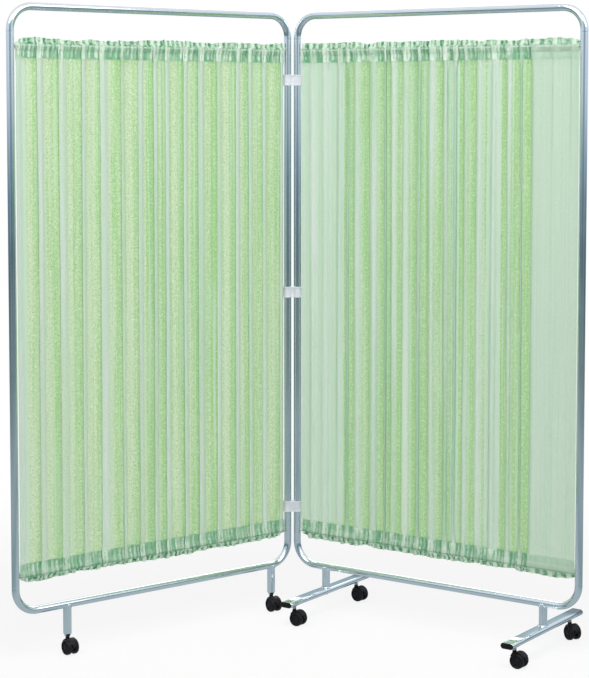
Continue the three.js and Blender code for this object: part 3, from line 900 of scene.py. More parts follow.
def stem_shape(place, name, footed):
    """The swivel stem: a pin in the housing, with a bright shoulder where it shows under a foot."""
    low, high = place.span(f"{name}_caster_stem")
    seat = place.span(f"{name}_caster_housing")[1][2] + STEM_GAP
    profile = [(0, low[2]), (PIN_RADIUS, low[2]), (PIN_RADIUS, seat)]
    if footed:
        shoulder_top = place.span(f"{name}_caster_holder")[0][2] - STEM_GAP
        profile += [(SHOULDER_RADIUS, seat), (SHOULDER_RADIUS, shoulder_top), (SHANK_RADIUS, shoulder_top)]
    else:
        profile += [(SHANK_RADIUS, seat)]
    profile += [(SHANK_RADIUS, high[2]), (0, high[2])]
    return Shape().add(place, turned(softened(profile, STEM_SOFTNESS), 36))


def insert_shape(place, name):
    """The flanged insert in the foot's lower wall."""
    low, high = place.span(f"{name}_caster_holder")
    bottom, top = low[2], high[2]
    return Shape().add(place, turned(softened([
        (INSERT_BORE_RADIUS, bottom), (FLANGE_RADIUS, bottom), (FLANGE_RADIUS, bottom + FLANGE_HEIGHT),
        (INSERT_RADIUS, bottom + FLANGE_HEIGHT), (INSERT_RADIUS, top), (INSERT_BORE_RADIUS, top),
        (INSERT_BORE_RADIUS, bottom),
    ], FLANGE_SOFTNESS, 2), 40))


# Hinge clips

CLIP_RIM = 0.8 * MM
CLIP_WAIST = 15 * MM
CLIP_BORE_RADIUS = 10.5 * MM
CLIP_SHARP_DEGREES = 50

# One end of a clip: how far from its end, and how far proud of the sleeve
CLIP_LEVELS = [
    (0.0, CLIP_RIM - 0.5 * MM), (0.15 * MM, CLIP_RIM - 0.15 * MM), (0.5 * MM, CLIP_RIM),
    (3.0 * MM, CLIP_RIM), (3.4 * MM, CLIP_RIM - 0.15 * MM), (3.8 * MM, 0.1 * MM), (4.4 * MM, 0.0),
]


def clip_outline(pitch, radius, growth):
    """The figure-eight outline round two sleeves, grown outwards."""
    r, w = radius + growth, CLIP_WAIST / 2 + growth
    turn = math.degrees(math.asin(w / r))
    right = arc(r, -180 + turn, 180 - turn, CLIP_STEPS, (pitch / 2, 0.0))
    left = arc(r, turn, 360 - turn, CLIP_STEPS, (-pitch / 2, 0.0))
    return right + left


def cut_out(made, bores):
    """Cuts the bores out of a clip's mesh."""
    cutter = new_object("bore_cutter", new_mesh("bore_cutter", np.concatenate(bores.corners), bores.faces))
    cut = made.modifiers.new("bores", "BOOLEAN")
    cut.operation = "DIFFERENCE"
    cut.solver = "EXACT"
    cut.object = cutter
    bpy.context.view_layer.update()
    result = bpy.data.meshes.new_from_object(made.evaluated_get(bpy.context.evaluated_depsgraph_get()))
    made.modifiers.clear()
    made.data = result
    bpy.data.objects.remove(cutter)
    result.shade_smooth()
    result.set_sharp_from_angle(angle=math.radians(CLIP_SHARP_DEGREES))


def build_clip(place, node_name, pitch):
    """A moulded clip with a raised rim above and below, and two bores for the uprights."""
    low, high = place.span(node_name)
    middle_z, half = (low[2] + high[2]) / 2, (high[2] - low[2]) / 2
    sleeve = (high[1] - low[1]) / 2 - CLIP_RIM
    levels = [(-half + d, growth) for d, growth in CLIP_LEVELS]
    levels += [(-z, growth) for z, growth in reversed(levels)]
    rings = [
        [(x, y, middle_z + z) for x, y in clip_outline(pitch, sleeve, growth)] for z, growth in levels
    ]
    body = Shape().add(place, sweep(rings))
    made = piece(
        node_name + "_moulding", body, "white_plastic", "hinge_clips", [node_name], sharp=CLIP_SHARP_DEGREES,
    )
    bores = Shape()
    below, above = middle_z - 2 * half, middle_z + 2 * half
    tool = turned([(0, below), (CLIP_BORE_RADIUS, below), (CLIP_BORE_RADIUS, above), (0, above)], 64)
    for centre in (-pitch / 2, pitch / 2):
        bores.add(place, moved(tool, lambda x, y, z: (centre + x, y, z)))
    cut_out(made, bores)


# Curtains

CLOTH_STEP = 2.0 * MM
CLOTH_OVERHANG = 4.5 * MM
FULLNESS_SHARE = 1.38
BAND_HEIGHT = 31 * MM
LAYER_GAP = 1.2 * MM
FOLD_MARGIN = 30 * MM
CALM_BLEND = 8 * MM
SOFT_BLEND = (-20 * MM, 5 * MM)
LEVELLING_REACH = 50 * MM
COMMON_REACH = 38 * MM
MOST_DEPTH = 9.6 * MM
ROD_GRIP_SHARE = 0.55
ROD_GRIP_REACH = 8 * MM
STITCH_REACH = 6 * MM
RUFFLE_START = 6 * MM
RUFFLE_DEPTH = 7 * MM
RUFFLE_REACH = 18 * MM
RUFFLE_LEAN = 2.2 * MM
RUFFLE_FLUTTER = 2.0 * MM
RUFFLE_SWELL = 5.0 * MM
HINGE_PULL_SHARE, HINGE_PULL_REACH = 0.85, 22 * MM
OUTER_PULL_SHARE, OUTER_PULL_REACH = 0.35, 14 * MM
SEAM_OVER_ROD = 4.6 * MM
ROD_CLEARANCE = 0.5 * MM
POCKET_SLACK = 0.9 * MM
POCKET_REACH = 13 * MM
POCKET_SOFTNESS = 0.6 * MM
STITCH_WIDTH = 0.5 * MM
HEM_TURN = 1.2 * MM
FALL_ROWS = 56
BAND_ROWS = 26
TURN_ROWS = 5
STEEPEST = 2.2
FITTING_TRIES = 24

# How far from a rod the cloth goes over to its free folds, and past it to its ruffle
FALL_BLEND = (10 * MM, 45 * MM)
FRILL_BLEND = (3 * MM, 11 * MM)

# Small folds: their lengths in millimetres, how steep they are, and how much that sways
FINE_FOLDS = ((9, 19), (0.4, 1.0), 0.15)
FRILL_FOLDS = ((13, 34), (0.7, 1.7), 0.3)
SMALL_FOLDS = ((7, 16), (0.04, 0.2), 0.4)

# How each curtain hangs: the lengths of cloth in its flat valleys, in the sharp rise and in the gentle
# slope of its folds in millimetres, how steep the rise is, how green its valleys start and end, where it
# hangs calm beside the outer upright or soft beside the hinge, and whether its folds lean to the hinge.
CURTAIN_PLANS = {
    "left": {
        "seed": 11, "valley": (16, 42), "rise": (8, 11), "slope": (28, 48), "steep": (1.5, 2.2),
        "starts": (0.0, 0.5), "ends": (0.6, 1.05), "mint_share": 0.0, "calm_share": 0.0,
        "soft_share": 0.0, "mirrored": True,
    },
    "right": {
        "seed": 29, "valley": (11, 27), "rise": (7, 12), "slope": (14, 38), "steep": (1.0, 2.0),
        "starts": (0.7, 1.1), "ends": (0.9, 1.3), "mint_share": 0.12, "calm_share": 0.165,
        "soft_share": 0.11, "mirrored": False,
    },
}


class Rods:
    """The heights of a curtain's two rods and of the stitch lines at their pockets, and their radius."""

    def __init__(self, place, side):
        bottom, top = place.span(f"{side}_bottom_rod"), place.span(f"{side}_top_rod")
        self.low, self.high = (bottom[0][2] + bottom[1][2]) / 2, (top[0][2] + top[1][2]) / 2
        self.low_stitch, self.high_stitch = self.low + BAND_HEIGHT, self.high - BAND_HEIGHT
        self.radius = (top[1][2] - top[0][2]) / 2

    def beyond(self, z):
        """How far a height is past the nearer rod, towards the curtain's ends."""
        return np.maximum(z - self.high, self.low - z)


def smooth_step(value, low, high):
    t = np.clip((value - low) / (high - low), 0, 1)
    return t * t * (3 - 2 * t)


def hump(distance, reach):
    """One at nil, falling to nothing past the reach."""
    return np.exp(-(distance / reach) ** 2)


def moving_mean(values, window):
    """Each row's moving average over a window of columns to both sides."""
    padded = np.pad(values, ((0, 0), (window, window)), mode="edge")
    total = np.cumsum(padded, axis=1)
    return (total[:, 2 * window:] - total[:, :-2 * window]) / (2 * window)


def wandering(random, along, count):
    """A random line through some points, from -1 to 1."""
    return np.interp(along, np.linspace(0, along[-1], count), random.uniform(-1, 1, count))


def ripples(random, along, heights, lengths, slopes, sway_share):
    """The cloth's turning angle at each row and column, for small folds of random length and steepness."""
    edges, steep = [0.0], []
    while edges[-1] < along[-1] + lengths[1] * MM:
        edges.append(edges[-1] + random.uniform(lengths[0] * MM, lengths[1] * MM))
        steep.append(random.uniform(*slopes))
    edges, steep = np.array(edges), np.array(steep)
    fold = np.searchsorted(edges, along, side="right") - 1
    share = (along - edges[fold]) / (edges[fold + 1] - edges[fold])
    sway = random.uniform(0, 2 * math.pi, len(steep))
    pace = random.uniform(2.0, 7.0, len(steep))
    swell = 1 + sway_share * np.sin(pace[None, fold] * heights[:, None] + sway[None, fold])
    return steep[None, fold] * swell * np.sin(2 * math.pi * share)[None, :]


def mean_rise(steep):
    """How high a bump that turns up to an angle climbs, as a share of its length."""
    share = (np.arange(48) + 0.5) / 48
    return np.sin(np.multiply.outer(steep, np.sin(math.pi * share) ** 2)).mean(-1)


def gentle_angle(climb_share):
    """The angle of the bump that climbs a given share of its length."""
    angles = np.linspace(0, 1.6, 60)
    return np.interp(climb_share, mean_rise(angles), angles)


def drawn_folds(random, plan, full, width):
    """Random folds over the cloth, one column each: start, valley, rise, slope, steepness, the green that
    its valley starts and ends with, phase and fading."""
    folds, start = [], -FOLD_MARGIN
    while start < full + 2 * FOLD_MARGIN:
        lengths = [random.uniform(plan[k][0] * MM, plan[k][1] * MM) for k in ("valley", "rise", "slope")]
        steep, begin, end = (random.uniform(*plan[k]) for k in ("steep", "starts", "ends"))
        low, high = plan["valley"][0] * MM, plan["valley"][1] * MM
        # Narrower valleys start greener: painted shade
        begin += (end - begin) * 0.6 * (high - lengths[0]) / (high - low)
        if random.uniform() < plan["mint_share"] or start < plan["soft_share"] * width:
            begin, end = -0.6, -0.1
        phase, fading = random.uniform(0, 6.3), random.uniform(0, 1)
        folds.append((start, *lengths, steep, begin, end, phase, fading))
        start += sum(lengths)
    return np.array(folds).T


def pleats(random, along, heights, plan, width):
    """Folds in a row: a flat valley, a sharp rise and a gentle slope down. Gives the turning angle at each
    row and column, how far it is on a fold's face, which the finish paints pale as a highlight, how green
    the valley is there, with painted shade greening it towards the rise, and how calm."""
    folds = drawn_folds(random, plan, along[-1], width)
    drift = sum(
        random.uniform(1.2, 2.6) * MM * np.sin(
            2 * math.pi * along[None, :] / random.uniform(0.12, 0.4) + random.uniform(0, 6.3)
            + random.uniform(-3.5, 3.5) * heights[:, None]
        ) for _ in range(3)
    )
    place = along[None, :] + drift
    if plan["mirrored"]:
        place = along[-1] - place
    fold = np.searchsorted(folds[0], place, side="right") - 1
    start, valley, rise, slope, steep, begin, end, phase, fading = (row[fold] for row in folds)
    local = place - start
    level = np.clip(local / valley, 0, 1)
    up = np.clip((local - valley) / rise, 0, 1)
    down = np.clip((local - valley - rise) / slope, 0, 1)
    height_share = ((heights - heights.min()) / np.ptp(heights))[:, None]
    strength = 1 + 0.12 * np.sin(4 * heights[:, None] + phase)
    strength = strength - 0.5 * np.maximum(fading - 0.6, 0) / 0.4 * (1 - height_share)
    calm_start = along[-1] - plan["calm_share"] * width
    is_calm = smooth_step(along, calm_start - CALM_BLEND, calm_start)[None, :]
    soft_end = plan["soft_share"] * width * 1.2
    is_soft = 1 - smooth_step(along - soft_end, *SOFT_BLEND)[None, :]
    at_header = smooth_step(height_share, 0.72, 0.98)
    strength = strength * (1 - is_calm * (0.94 - 0.4 * at_header)) * (1 - 0.6 * is_soft)
    gentle = gentle_angle(mean_rise(folds[4]) * folds[2] / folds[3])[fold]
    angle = strength * (steep * np.sin(math.pi * up) ** 2 - gentle * np.sin(math.pi * down) ** 2)
    angle = angle + 0.12 * np.sin(2 * math.pi * level + phase) * np.sin(math.pi * level) * (1 - is_calm)
    if plan["mirrored"]:
        angle = -angle
    face = smooth_step(up, 0.35, 0.6) * (1 - smooth_step(down, 0.3, 1.05))
    # Each valley greens towards its fold's rise: painted shade over the fold's own random tone
    turn = 0.25 + 0.4 * fading
    tone = begin + (end - begin) * smooth_step(level, turn - 0.2, turn + 0.35)
    return angle, face, np.where(down > 0, begin, tone), np.broadcast_to(is_calm, angle.shape)


def curtain_rows(hem, rods, header):
    """The rows of the cloth from the lower stitch line behind, round the hem, up the front, and round the
    header to the upper stitch line behind: (height, layer), with layer 1 in front and -1 behind."""
    low_stitch, high_stitch = rods.low_stitch, rods.high_stitch
    half_turn = np.linspace(0, math.pi, TURN_ROWS)[1:-1]

    def straight(start, end, count, layer):
        return [(z, layer) for z in np.linspace(start, end, count)]

    return np.array(
        straight(low_stitch, hem + HEM_TURN, BAND_ROWS, -1.0)
        + [(hem + HEM_TURN * (1 - math.sin(a)), -math.cos(a)) for a in half_turn]
        + straight(hem + HEM_TURN, low_stitch, BAND_ROWS, 1.0)
        + straight(low_stitch + STITCH_WIDTH, high_stitch - STITCH_WIDTH, FALL_ROWS, 1.0)
        + straight(high_stitch, header - HEM_TURN, BAND_ROWS, 1.0)
        + [(header - HEM_TURN * (1 - math.sin(a)), math.cos(a)) for a in half_turn]
        + straight(header - HEM_TURN, high_stitch, BAND_ROWS, -1.0)
    )


def fitted(angle, width, step):
    """The angles turned up or down, row by row, until the cloth just spans the width."""
    low_gain, high_gain = np.zeros(len(angle)), np.full(len(angle), 2.5)
    for _ in range(FITTING_TRIES):
        gain = (low_gain + high_gain) / 2
        reach = np.cos(np.clip(angle * gain[:, None], -STEEPEST, STEEPEST)).sum(1) * step
        wide = reach > width
        low_gain, high_gain = np.where(wide, gain, low_gain), np.where(wide, high_gain, gain)
    return np.clip(angle * gain[:, None], -STEEPEST, STEEPEST)


def cloth_section(random, rows, width, full, rods, plan):
    """Where each row of the cloth runs: x along the rods, depth and turning angle for every column, and how
    its folds are coloured."""
    along = np.linspace(0, full, round(full / CLOTH_STEP) + 1)
    step = along[1] - along[0]
    z = rows[:, 0]
    beyond = rods.beyond(z)
    pleat, face, tone, is_calm = pleats(random, along, z, plan, width)
    lively = 1 - 0.8 * is_calm
    fine = ripples(random, along, z, *FINE_FOLDS) * lively
    frill = ripples(random, along, z, *FRILL_FOLDS) * (1 - 0.45 * is_calm)
    small = ripples(random, along, z, *SMALL_FOLDS) * lively
    is_fall = smooth_step(-beyond, *FALL_BLEND)
    is_frill = smooth_step(beyond, *FRILL_BLEND)
    is_fine = np.clip(1 - is_fall ** 2 - is_frill ** 2, 0, 1) ** 0.5
    angle = pleat * (0.8 + 0.2 * is_fall - 0.5 * is_frill)[:, None]
    angle = angle + 0.55 * fine * is_fine[:, None] + frill * is_frill[:, None]
    angle = fitted(angle + small * (0.5 + 0.4 * is_fine)[:, None], width, step)
    x = np.cumsum(np.cos(angle), axis=1) * step
    x = (x - x[:, :1]) * (width / (x[:, -1:] - x[:, :1]))
    common = x[is_fall > 0.99].mean(0, keepdims=True)
    x = np.clip(x + moving_mean(common - x, round(COMMON_REACH / step)), 0, width)
    depth = np.cumsum(np.sin(angle), axis=1) * step
    depth = depth - moving_mean(depth, round(LEVELLING_REACH / step))
    return SimpleNamespace(
        x=x, depth=depth, angle=angle, along=along, beyond=beyond[:, None], face=face, tone=tone,
        is_calm=is_calm,
    )


def layered(cloth, rows, rods):
    """The cloth's x and y with its two layers apart in the bands and held off the rod between them, and
    where the bands are."""
    z, layer = rows[:, 0:1], rows[:, 1:2]
    near_rod = np.minimum(abs(z - rods.high), abs(z - rods.low))
    limit = np.where(cloth.beyond > RUFFLE_START, RUFFLE_DEPTH, MOST_DEPTH)
    loose = 1 - ROD_GRIP_SHARE * hump(near_rod, ROD_GRIP_REACH)
    depth = limit * np.tanh(cloth.depth * loose / limit)
    to_stitch = np.minimum(abs(z - rods.high_stitch), abs(z - rods.low_stitch))
    gap = LAYER_GAP * (0.25 + 0.75 * smooth_step(to_stitch, 0, STITCH_REACH))
    is_band = (cloth.beyond > -BAND_HEIGHT - 0.2 * MM).astype(float)
    shift = layer * gap / 2 * is_band
    bulge = (rods.radius + POCKET_SLACK) * np.clip(1 - (near_rod / POCKET_REACH) ** 2, 0, 1)
    y = depth + shift * np.cos(cloth.angle) + layer * bulge * is_band
    clear = rods.radius + ROD_CLEARANCE
    inside = np.sqrt(np.clip(clear ** 2 - near_rod ** 2, 0, None))
    proud = layer * y - inside
    held = layer * (inside + (proud + np.sqrt(proud ** 2 + POCKET_SOFTNESS ** 2)) / 2)
    y = np.where((near_rod < clear) & (is_band > 0), held, y)
    return cloth.x - shift * np.sin(cloth.angle), y, is_band


def ruffled(random, cloth, x, y, z, width, rods):
    """The cloth's y and height once its ruffles lean, flutter and are drawn in beside the uprights."""
    share = np.clip(cloth.beyond / RUFFLE_REACH, 0, 1) ** 2
    y = y + wandering(random, cloth.along, 30)[None, :] * RUFFLE_LEAN * share
    flutter = wandering(random, cloth.along, 64) + 0.5 * wandering(random, cloth.along, 170)
    slow = wandering(random, cloth.along, 17)
    flutter = (flutter * RUFFLE_FLUTTER + np.minimum(slow, 0.3) * RUFFLE_SWELL)[None, :] * share
    pull = HINGE_PULL_SHARE * hump(x, HINGE_PULL_REACH) * (z < rods.low)
    pull = pull + OUTER_PULL_SHARE * hump(width - x, OUTER_PULL_REACH)
    rise = np.where(z > rods.high, z - rods.high, np.where(z < rods.low, z - rods.low, 0.0))
    return y, z - rise * np.clip(pull, 0, 0.9) + np.sign(rise) * flutter


def facts_for_finish(cloth, z, is_band, rods):
    """What the cloth's finish is told about each corner."""
    gathered = smooth_step(cloth.beyond, -BAND_HEIGHT, STITCH_REACH - BAND_HEIGHT)
    # The crests of the gathers, which take the painted highlight of the folds' faces in the bands
    crest = smooth_step(cloth.depth - moving_mean(cloth.depth, 7), -0.25 * MM, 0.6 * MM)
    turned_over = abs(cloth.angle) >= math.pi / 2
    return {
        "steep": np.clip(abs(np.sin(cloth.angle)) * ~turned_over + turned_over, 0, 1),
        # Painted highlight over the header rod where positive, painted shade under the hem rod where negative
        "seam": hump(cloth.beyond - 2 * MM, 2.2 * MM) * np.where(z > rods.high_stitch, 1.0, -1.0),
        "frill": smooth_step(cloth.beyond, 2 * MM, RUFFLE_START),
        "face": cloth.face * (1 - 0.6 * gathered) + crest * 0.6 * gathered,
        "band": is_band, "tone": cloth.tone, "calm": cloth.is_calm,
    }


def cloth_mesh(name, corners, across, down, told):
    """The sheet's mesh from its rows of corners. Its UV map is its flat place in metres."""
    rows, columns, _ = corners.shape
    mesh = new_mesh(name, corners.reshape(-1, 3), grid_faces(rows, columns, round_columns=False))
    uv = np.stack(np.broadcast_arrays(across[None, :], down[:, None]), axis=2).reshape(-1, 2)
    loops = np.zeros(len(mesh.loops), np.int32)
    mesh.loops.foreach_get("vertex_index", loops)
    mesh.uv_layers.new(name="cloth").data.foreach_set("uv", uv[loops].astype(np.float32).ravel())
    for key, values in told.items():
        spread = np.ascontiguousarray(np.broadcast_to(values, (rows, columns)), dtype=np.float32)
        mesh.attributes.new(key, "FLOAT", "POINT").data.foreach_set("value", spread.ravel())
    mesh.shade_smooth()
    return mesh


# A stitch's thickness at each column of the cloth that it spans
STITCH = [0.1 * MM, 0.3 * MM, 0.34 * MM, 0.3 * MM, 0.1 * MM]
STITCH_SIDES = 6


def thread_stitches(place, points, outward):
    """Short stitches laid along a line of the cloth, with a small gap between them."""
    span = len(STITCH) - 1
    shape = Shape()
    for start in range(2, len(points) - span - 2, span + 1):
        line = points[start:start + span + 1]
        out = outward[start + span // 2]
        rings = []
        for k, p in enumerate(line):
            ahead = line[min(k + 1, span)] - line[max(k - 1, 0)]
            up = np.cross(ahead / np.linalg.norm(ahead), out)
            lift = out * STITCH[k] * 0.9
            rings.append([
                p + lift + (out * math.cos(a) + up * math.sin(a)) * STITCH[k]
                for a in angles_round(STITCH_SIDES)
            ])
        stitch = sweep(rings)
        shape.add(place, stitch, stitch[0])
    return shape


def stitch_lines(place, side, front, corners, angle, rows, rods):
    """The lines of stitches on the face of one curtain, above and below each rod."""
    levels = {
        "header_top": rods.high + SEAM_OVER_ROD, "header_foot": rods.high_stitch,
        "hem_foot": rods.low - SEAM_OVER_ROD, "hem_top": rods.low_stitch,
    }
    lines = []
    for level, height in levels.items():
        row = int(np.argmin(abs(rows[:, 0] - height) + (rows[:, 1] < 0.9)))
        outward = np.stack([-np.sin(angle[row]), front * np.cos(angle[row]), 0 * angle[row]], axis=1)
        stitches = thread_stitches(place, corners[row], outward)
        lines.append(piece(f"{side}_{level}_stitches", stitches, "thread", f"{side}_panel"))
    return lines


def build_curtain(place, side, front):
    """One curtain as a single sheet whose top and bottom are folded back and stitched into rod pockets.
    front is 1 or -1, the way along the panel's normal that its face looks."""
    plan, rods = CURTAIN_PLANS[side], Rods(place, side)
    random = np.random.default_rng(plan["seed"])
    low, high = place.span(f"{side}_curtain")
    start, width = low[0] - CLOTH_OVERHANG, high[0] - low[0] + 2 * CLOTH_OVERHANG
    full = FULLNESS_SHARE * width
    rows = curtain_rows(low[2], rods, high[2])
    z = rows[:, 0:1]
    cloth = cloth_section(random, rows, width, full, rods, plan)
    x, y, is_band = layered(cloth, rows, rods)
    y, height = ruffled(random, cloth, x, y, z, width, rods)
    corners = np.stack([start + x, front * y, height], axis=2)
    steps = np.hypot(np.diff(rows[:, 0]), np.diff(rows[:, 1]) * LAYER_GAP / 2)
    down = np.concatenate([[0.0], np.cumsum(steps)])
    name = f"{side}_curtain_cloth"
    told = facts_for_finish(cloth, z, is_band, rods)
    mesh = cloth_mesh(name, place.put(corners), cloth.along, down, told)
    made = dressed(name, mesh, "green_voile", f"{side}_panel", [f"{side}_curtain"])
    stitch_lines(place, side, front, corners, cloth.angle, rows, rods)


# Assembly

def build_panel(side, front):
    place = panel_place(side)
    body = f"{side}_panel"
    loop, tube_radius = frame_loop(place, f"{side}_frame_tube")
    piece(f"{side}_frame_loop", loop, "chrome_tube", body, [f"{side}_frame_tube"], sharp=60)
    for level in ("top", "bottom"):
        rod = rod_shape(place, f"{side}_{level}_rod")
        piece(f"{side}_{level}_rod_smooth", rod, "zinc_steel", body, [f"{side}_{level}_rod"])
    rail_z = place.span(f"{side}_frame_tube")[0][2] + tube_radius
    for end in ("inner", "outer"):
        name = f"{side}_{end}_post"
        shape = post_shape(place, name, tube_radius, rail_z, swaged_end if side == "left" else flared_end)
        piece(name + "_tube", shape, "chrome_tube", body, [name])
    build_curtain(place, side, front)
    return place


def build_feet(place):
    for end in ("inner", "outer"):
        foot = f"{end}_foot"
        piece(foot + "_tube", foot_shape(place, foot), "chrome_tube", "right_panel", [foot], sharp=50)
        bolt = bolt_shape(place, f"{foot}_bolt")
        piece(f"{foot}_bolt_head", bolt, "zinc_steel", "right_panel", [f"{foot}_bolt"], sharp=25)
        for edge, outward in (("front", -1), ("rear", 1)):
            cap = f"{foot}_{edge}_cap"
            piece(cap + "_moulding", cap_shape(place, cap, outward), "black_plastic", "right_panel", [cap])


def build_caster(name, panel_body, footed):
    place = caster_place(name)
    prefix = f"{name}_caster"
    stem = stem_shape(place, name, footed)
    piece(f"{prefix}_stem_turned", stem, "zinc_steel", panel_body, [f"{prefix}_stem"])
    if footed:
        insert = insert_shape(place, name)
        piece(f"{prefix}_insert", insert, "zinc_steel", panel_body, [f"{prefix}_holder"])
    else:
        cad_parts[f"{prefix}_holder"].material_slots[0].material = FINISHES["black_plastic"]
    piece(f"{prefix}_fork", housing_shape(place, name), "black_plastic", prefix, [f"{prefix}_housing"])
    for letter in "ab":
        wheel = f"{prefix}_wheel_{letter}"
        tyre = wheel_shape(place, wheel)
        piece(f"{prefix}_tyre_{letter}", tyre, "black_plastic", f"{name}_wheels", [wheel])
    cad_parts[f"{prefix}_axle"].material_slots[0].material = FINISHES["zinc_steel"]


left_place = build_panel("left", 1)
right_place = build_panel("right", -1)
build_feet(right_place)
for caster in ("left_inner", "left_outer"):
    build_caster(caster, "left_panel", footed=False)
for caster in ("inner_front", "inner_rear", "outer_front", "outer_rear"):
    build_caster(caster, "right_panel", footed=True)

across_hinge = right_place.origin - left_place.origin
clip_place = Place((left_place.origin + right_place.origin) / 2, across_hinge)
for level in ("top", "middle", "bottom"):
    build_clip(clip_place, f"{level}_clip", across_hinge.length)


# Floor, light and camera

FLOOR_HALF = 12.0
NEAR_FLOOR_WHITE_SHARE = 0.85
WORLD_LIGHT = 0.27
LAMP_AIM = Vector((0, 0, 0.8))
WHITE = (1.0, 1.0, 1.0, 1.0)

# Lamps: place, size in metres and power in watts
LAMPS = {
    "key": ((-2.8, -3.2, 4.4), 2.4, 50),
    "fill": ((3.0, -2.4, 3.5), 2.4, 42),
    "top": ((0.0, -1.8, 3.1), 1.4, 53),
    "back": ((0.6, 3.8, 3.0), 2.4, 26),
}

# Half the width of the room that the metal mirrors, its height, and half its depth
ROOM_HALF, ROOM_HEIGHT, ROOM_REACH = 5.0, 6.0, 7.5

# What the bright tubes mirror, dark at waist height, light above and grey below. The walls' colours go
# with the height, those of the floor and the ceiling with the distance from the middle.
DARK_BELOW = [(0.0, (118, 137, 139)), (0.5, (88, 108, 115)), (1.0, (112, 138, 152))]
SIDE_WALL = DARK_BELOW + [(1.5, (205, 217, 230)), (2.0, (228, 238, 248))]
FRONT_WALL = DARK_BELOW + [(1.5, (150, 174, 184)), (3.4, (158, 184, 190)), (5.2, (236, 243, 247))]
BACK_WALL = [(0.0, (150, 170, 178)), (2.2, (163, 185, 193)), (3.2, (226, 236, 240))]
LIGHT_PANEL = [(0.2, (140, 158, 164)), (0.6, (118, 138, 148)), (1.1, (150, 172, 188)), (1.6, (240, 245, 252))]
FLOOR_RINGS = [
    (0.0, (184, 197, 203)), (0.9, (176, 190, 196)), (1.6, (140, 160, 165)), (2.6, (160, 175, 181)),
    (5.0, (118, 137, 139)),
]
CEILING_RINGS = [(0.0, (236, 243, 246)), (9.0, (255, 255, 255))]


def rectangle(name, width, height, material):
    """A flat rectangle in the XY plane."""
    w, h = width / 2, height / 2
    mesh = new_mesh(name, [(-w, -h, 0), (w, -h, 0), (w, h, 0), (-w, h, 0)], [(0, 1, 2, 3)])
    mesh.materials.append(material)
    made = new_object(name, mesh)
    return made


def pale_floor():
    """A pale floor that fades into the white backdrop away from the object."""
    t = new_finish("pale_floor")
    place = t.node("NewGeometry")["Position"]
    far = t.remap(
        t.distance(place), 0.7, 2.4, NEAR_FLOOR_WHITE_SHARE, 1.0, interpolation_type="SMOOTHSTEP",
    )
    white = t.node("Emission", {"Color": WHITE, "Strength": 1.0})[0]
    pale = t.mix(t.noise(place, 3.0), (0.90, 0.90, 0.90, 1.0), (0.93, 0.93, 0.93, 1.0))
    floor = t.node("BsdfDiffuse", {"Color": pale})[0]
    return t.finish(t.blended(t.times(far, t.is_seen()), floor, white))


def build_world():
    """A white surround. What the camera and the metal see of it is plain white."""
    world = bpy.data.worlds.new("white_surround")
    bpy.context.scene.world = world
    t = Nodes(world)
    light = t.node("Background", {"Color": WHITE, "Strength": WORLD_LIGHT})[0]
    white = t.node("Background", {"Color": WHITE, "Strength": 1.0})[0]
    t.finish(t.blended(t.is_seen(), light, white), "OutputWorld")


def add_lamp(name, location, size, power):
    """A soft square lamp that looks at the middle of the screen."""
    data = bpy.data.lights.new(name, "AREA")
    data.shape = "SQUARE"
    data.size = size
    data.energy = power
    lamp = new_object(name, data)
    lamp.location = location
    lamp.rotation_euler = (LAMP_AIM - Vector(location)).to_track_quat("-Z", "Y").to_euler()


def graded(t, value, stops):
    """A colour that runs through (value, colour) stops."""
    low, high = stops[0][0], stops[-1][0]
    colour = t.node("ValToRGB", {0: t.remap(value, low, high)})[0]
    elements = colour.node.color_ramp.elements
    elements[0].color, elements[1].color = srgb(*stops[0][1]), srgb(*stops[-1][1])
    for at, between in stops[1:-1]:
        elements.new((at - low) / (high - low)).color = srgb(*between)
    return colour


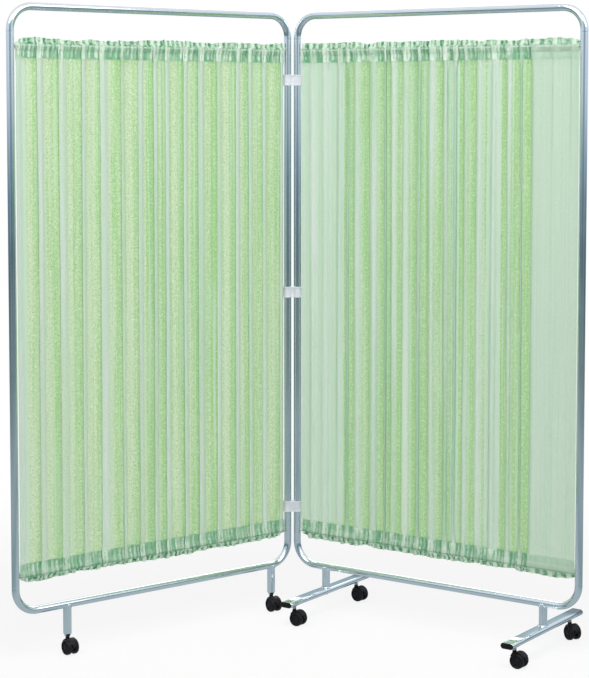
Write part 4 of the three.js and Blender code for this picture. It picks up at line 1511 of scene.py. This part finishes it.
def reflected_card(name, centre, size, facing, stops, by_distance=False):
    """A card of the studio that only the metal's reflections show. Its colour runs with the height, or
    with the distance from the screen."""
    t = new_finish(name)
    place = t.node("NewGeometry")["Position"]
    value = t.distance(place) if by_distance else t.node("SeparateXYZ", {0: place})[2]
    glow = t.node("Emission", {"Color": graded(t, value, stops), "Strength": 1.0})[0]
    card = rectangle(name, *size, t.finish(glow))
    card.location = centre
    card.rotation_euler = Vector(facing).to_track_quat("Z", "Y").to_euler()
    card.visible_camera = False
    card.visible_diffuse = False
    card.visible_transmission = False
    card.visible_shadow = False


def build_cards():
    half, tall, reach = ROOM_HALF, ROOM_HEIGHT, ROOM_REACH
    side, end, level = (2 * reach, tall), (2 * half, tall), (2 * half, 2 * reach)
    reflected_card("left_wall_card", (-half, 0, tall / 2), side, (1, 0, 0), SIDE_WALL)
    reflected_card("right_wall_card", (half, 0, tall / 2), side, (-1, 0, 0), SIDE_WALL)
    reflected_card("front_wall_card", (0, -reach, tall / 2), end, (0, 1, 0), FRONT_WALL)
    reflected_card("back_wall_card", (0, reach, tall / 2), end, (0, -1, 0), BACK_WALL)
    reflected_card("floor_card", (0, 0, 0.004), level, (0, 0, 1), FLOOR_RINGS, by_distance=True)
    reflected_card("ceiling_card", (0, 0, tall), level, (0, 0, -1), CEILING_RINGS, by_distance=True)
    for name, x in (("left", -3.3), ("right", 3.3)):
        reflected_card(f"{name}_light_card", (x, -4.2, 1.6), (1.6, 2.8), (-x, 4.2, 0), LIGHT_PANEL)


def build_camera():
    data = bpy.data.cameras.new("camera")
    data.sensor_width = SENSOR_WIDTH
    data.lens = FOCAL_PIXELS * SENSOR_WIDTH / PHOTO_HEIGHT
    data.shift_y = (CENTRE_ROW_PIXELS - PHOTO_HEIGHT / 2) / PHOTO_HEIGHT
    camera = new_object("camera", data)
    camera.location = CAMERA_PLACE
    camera.rotation_euler = (math.pi / 2 - CAMERA_TILT, 0, CAMERA_TURN)
    bpy.context.scene.camera = camera


rectangle("floor", 2 * FLOOR_HALF, 2 * FLOOR_HALF, pale_floor())
build_world()
for name, (location, size, power) in LAMPS.items():
    add_lamp(name, location, size, power)
build_cards()
build_camera()
bpy.context.scene.view_settings.view_transform = "Standard"
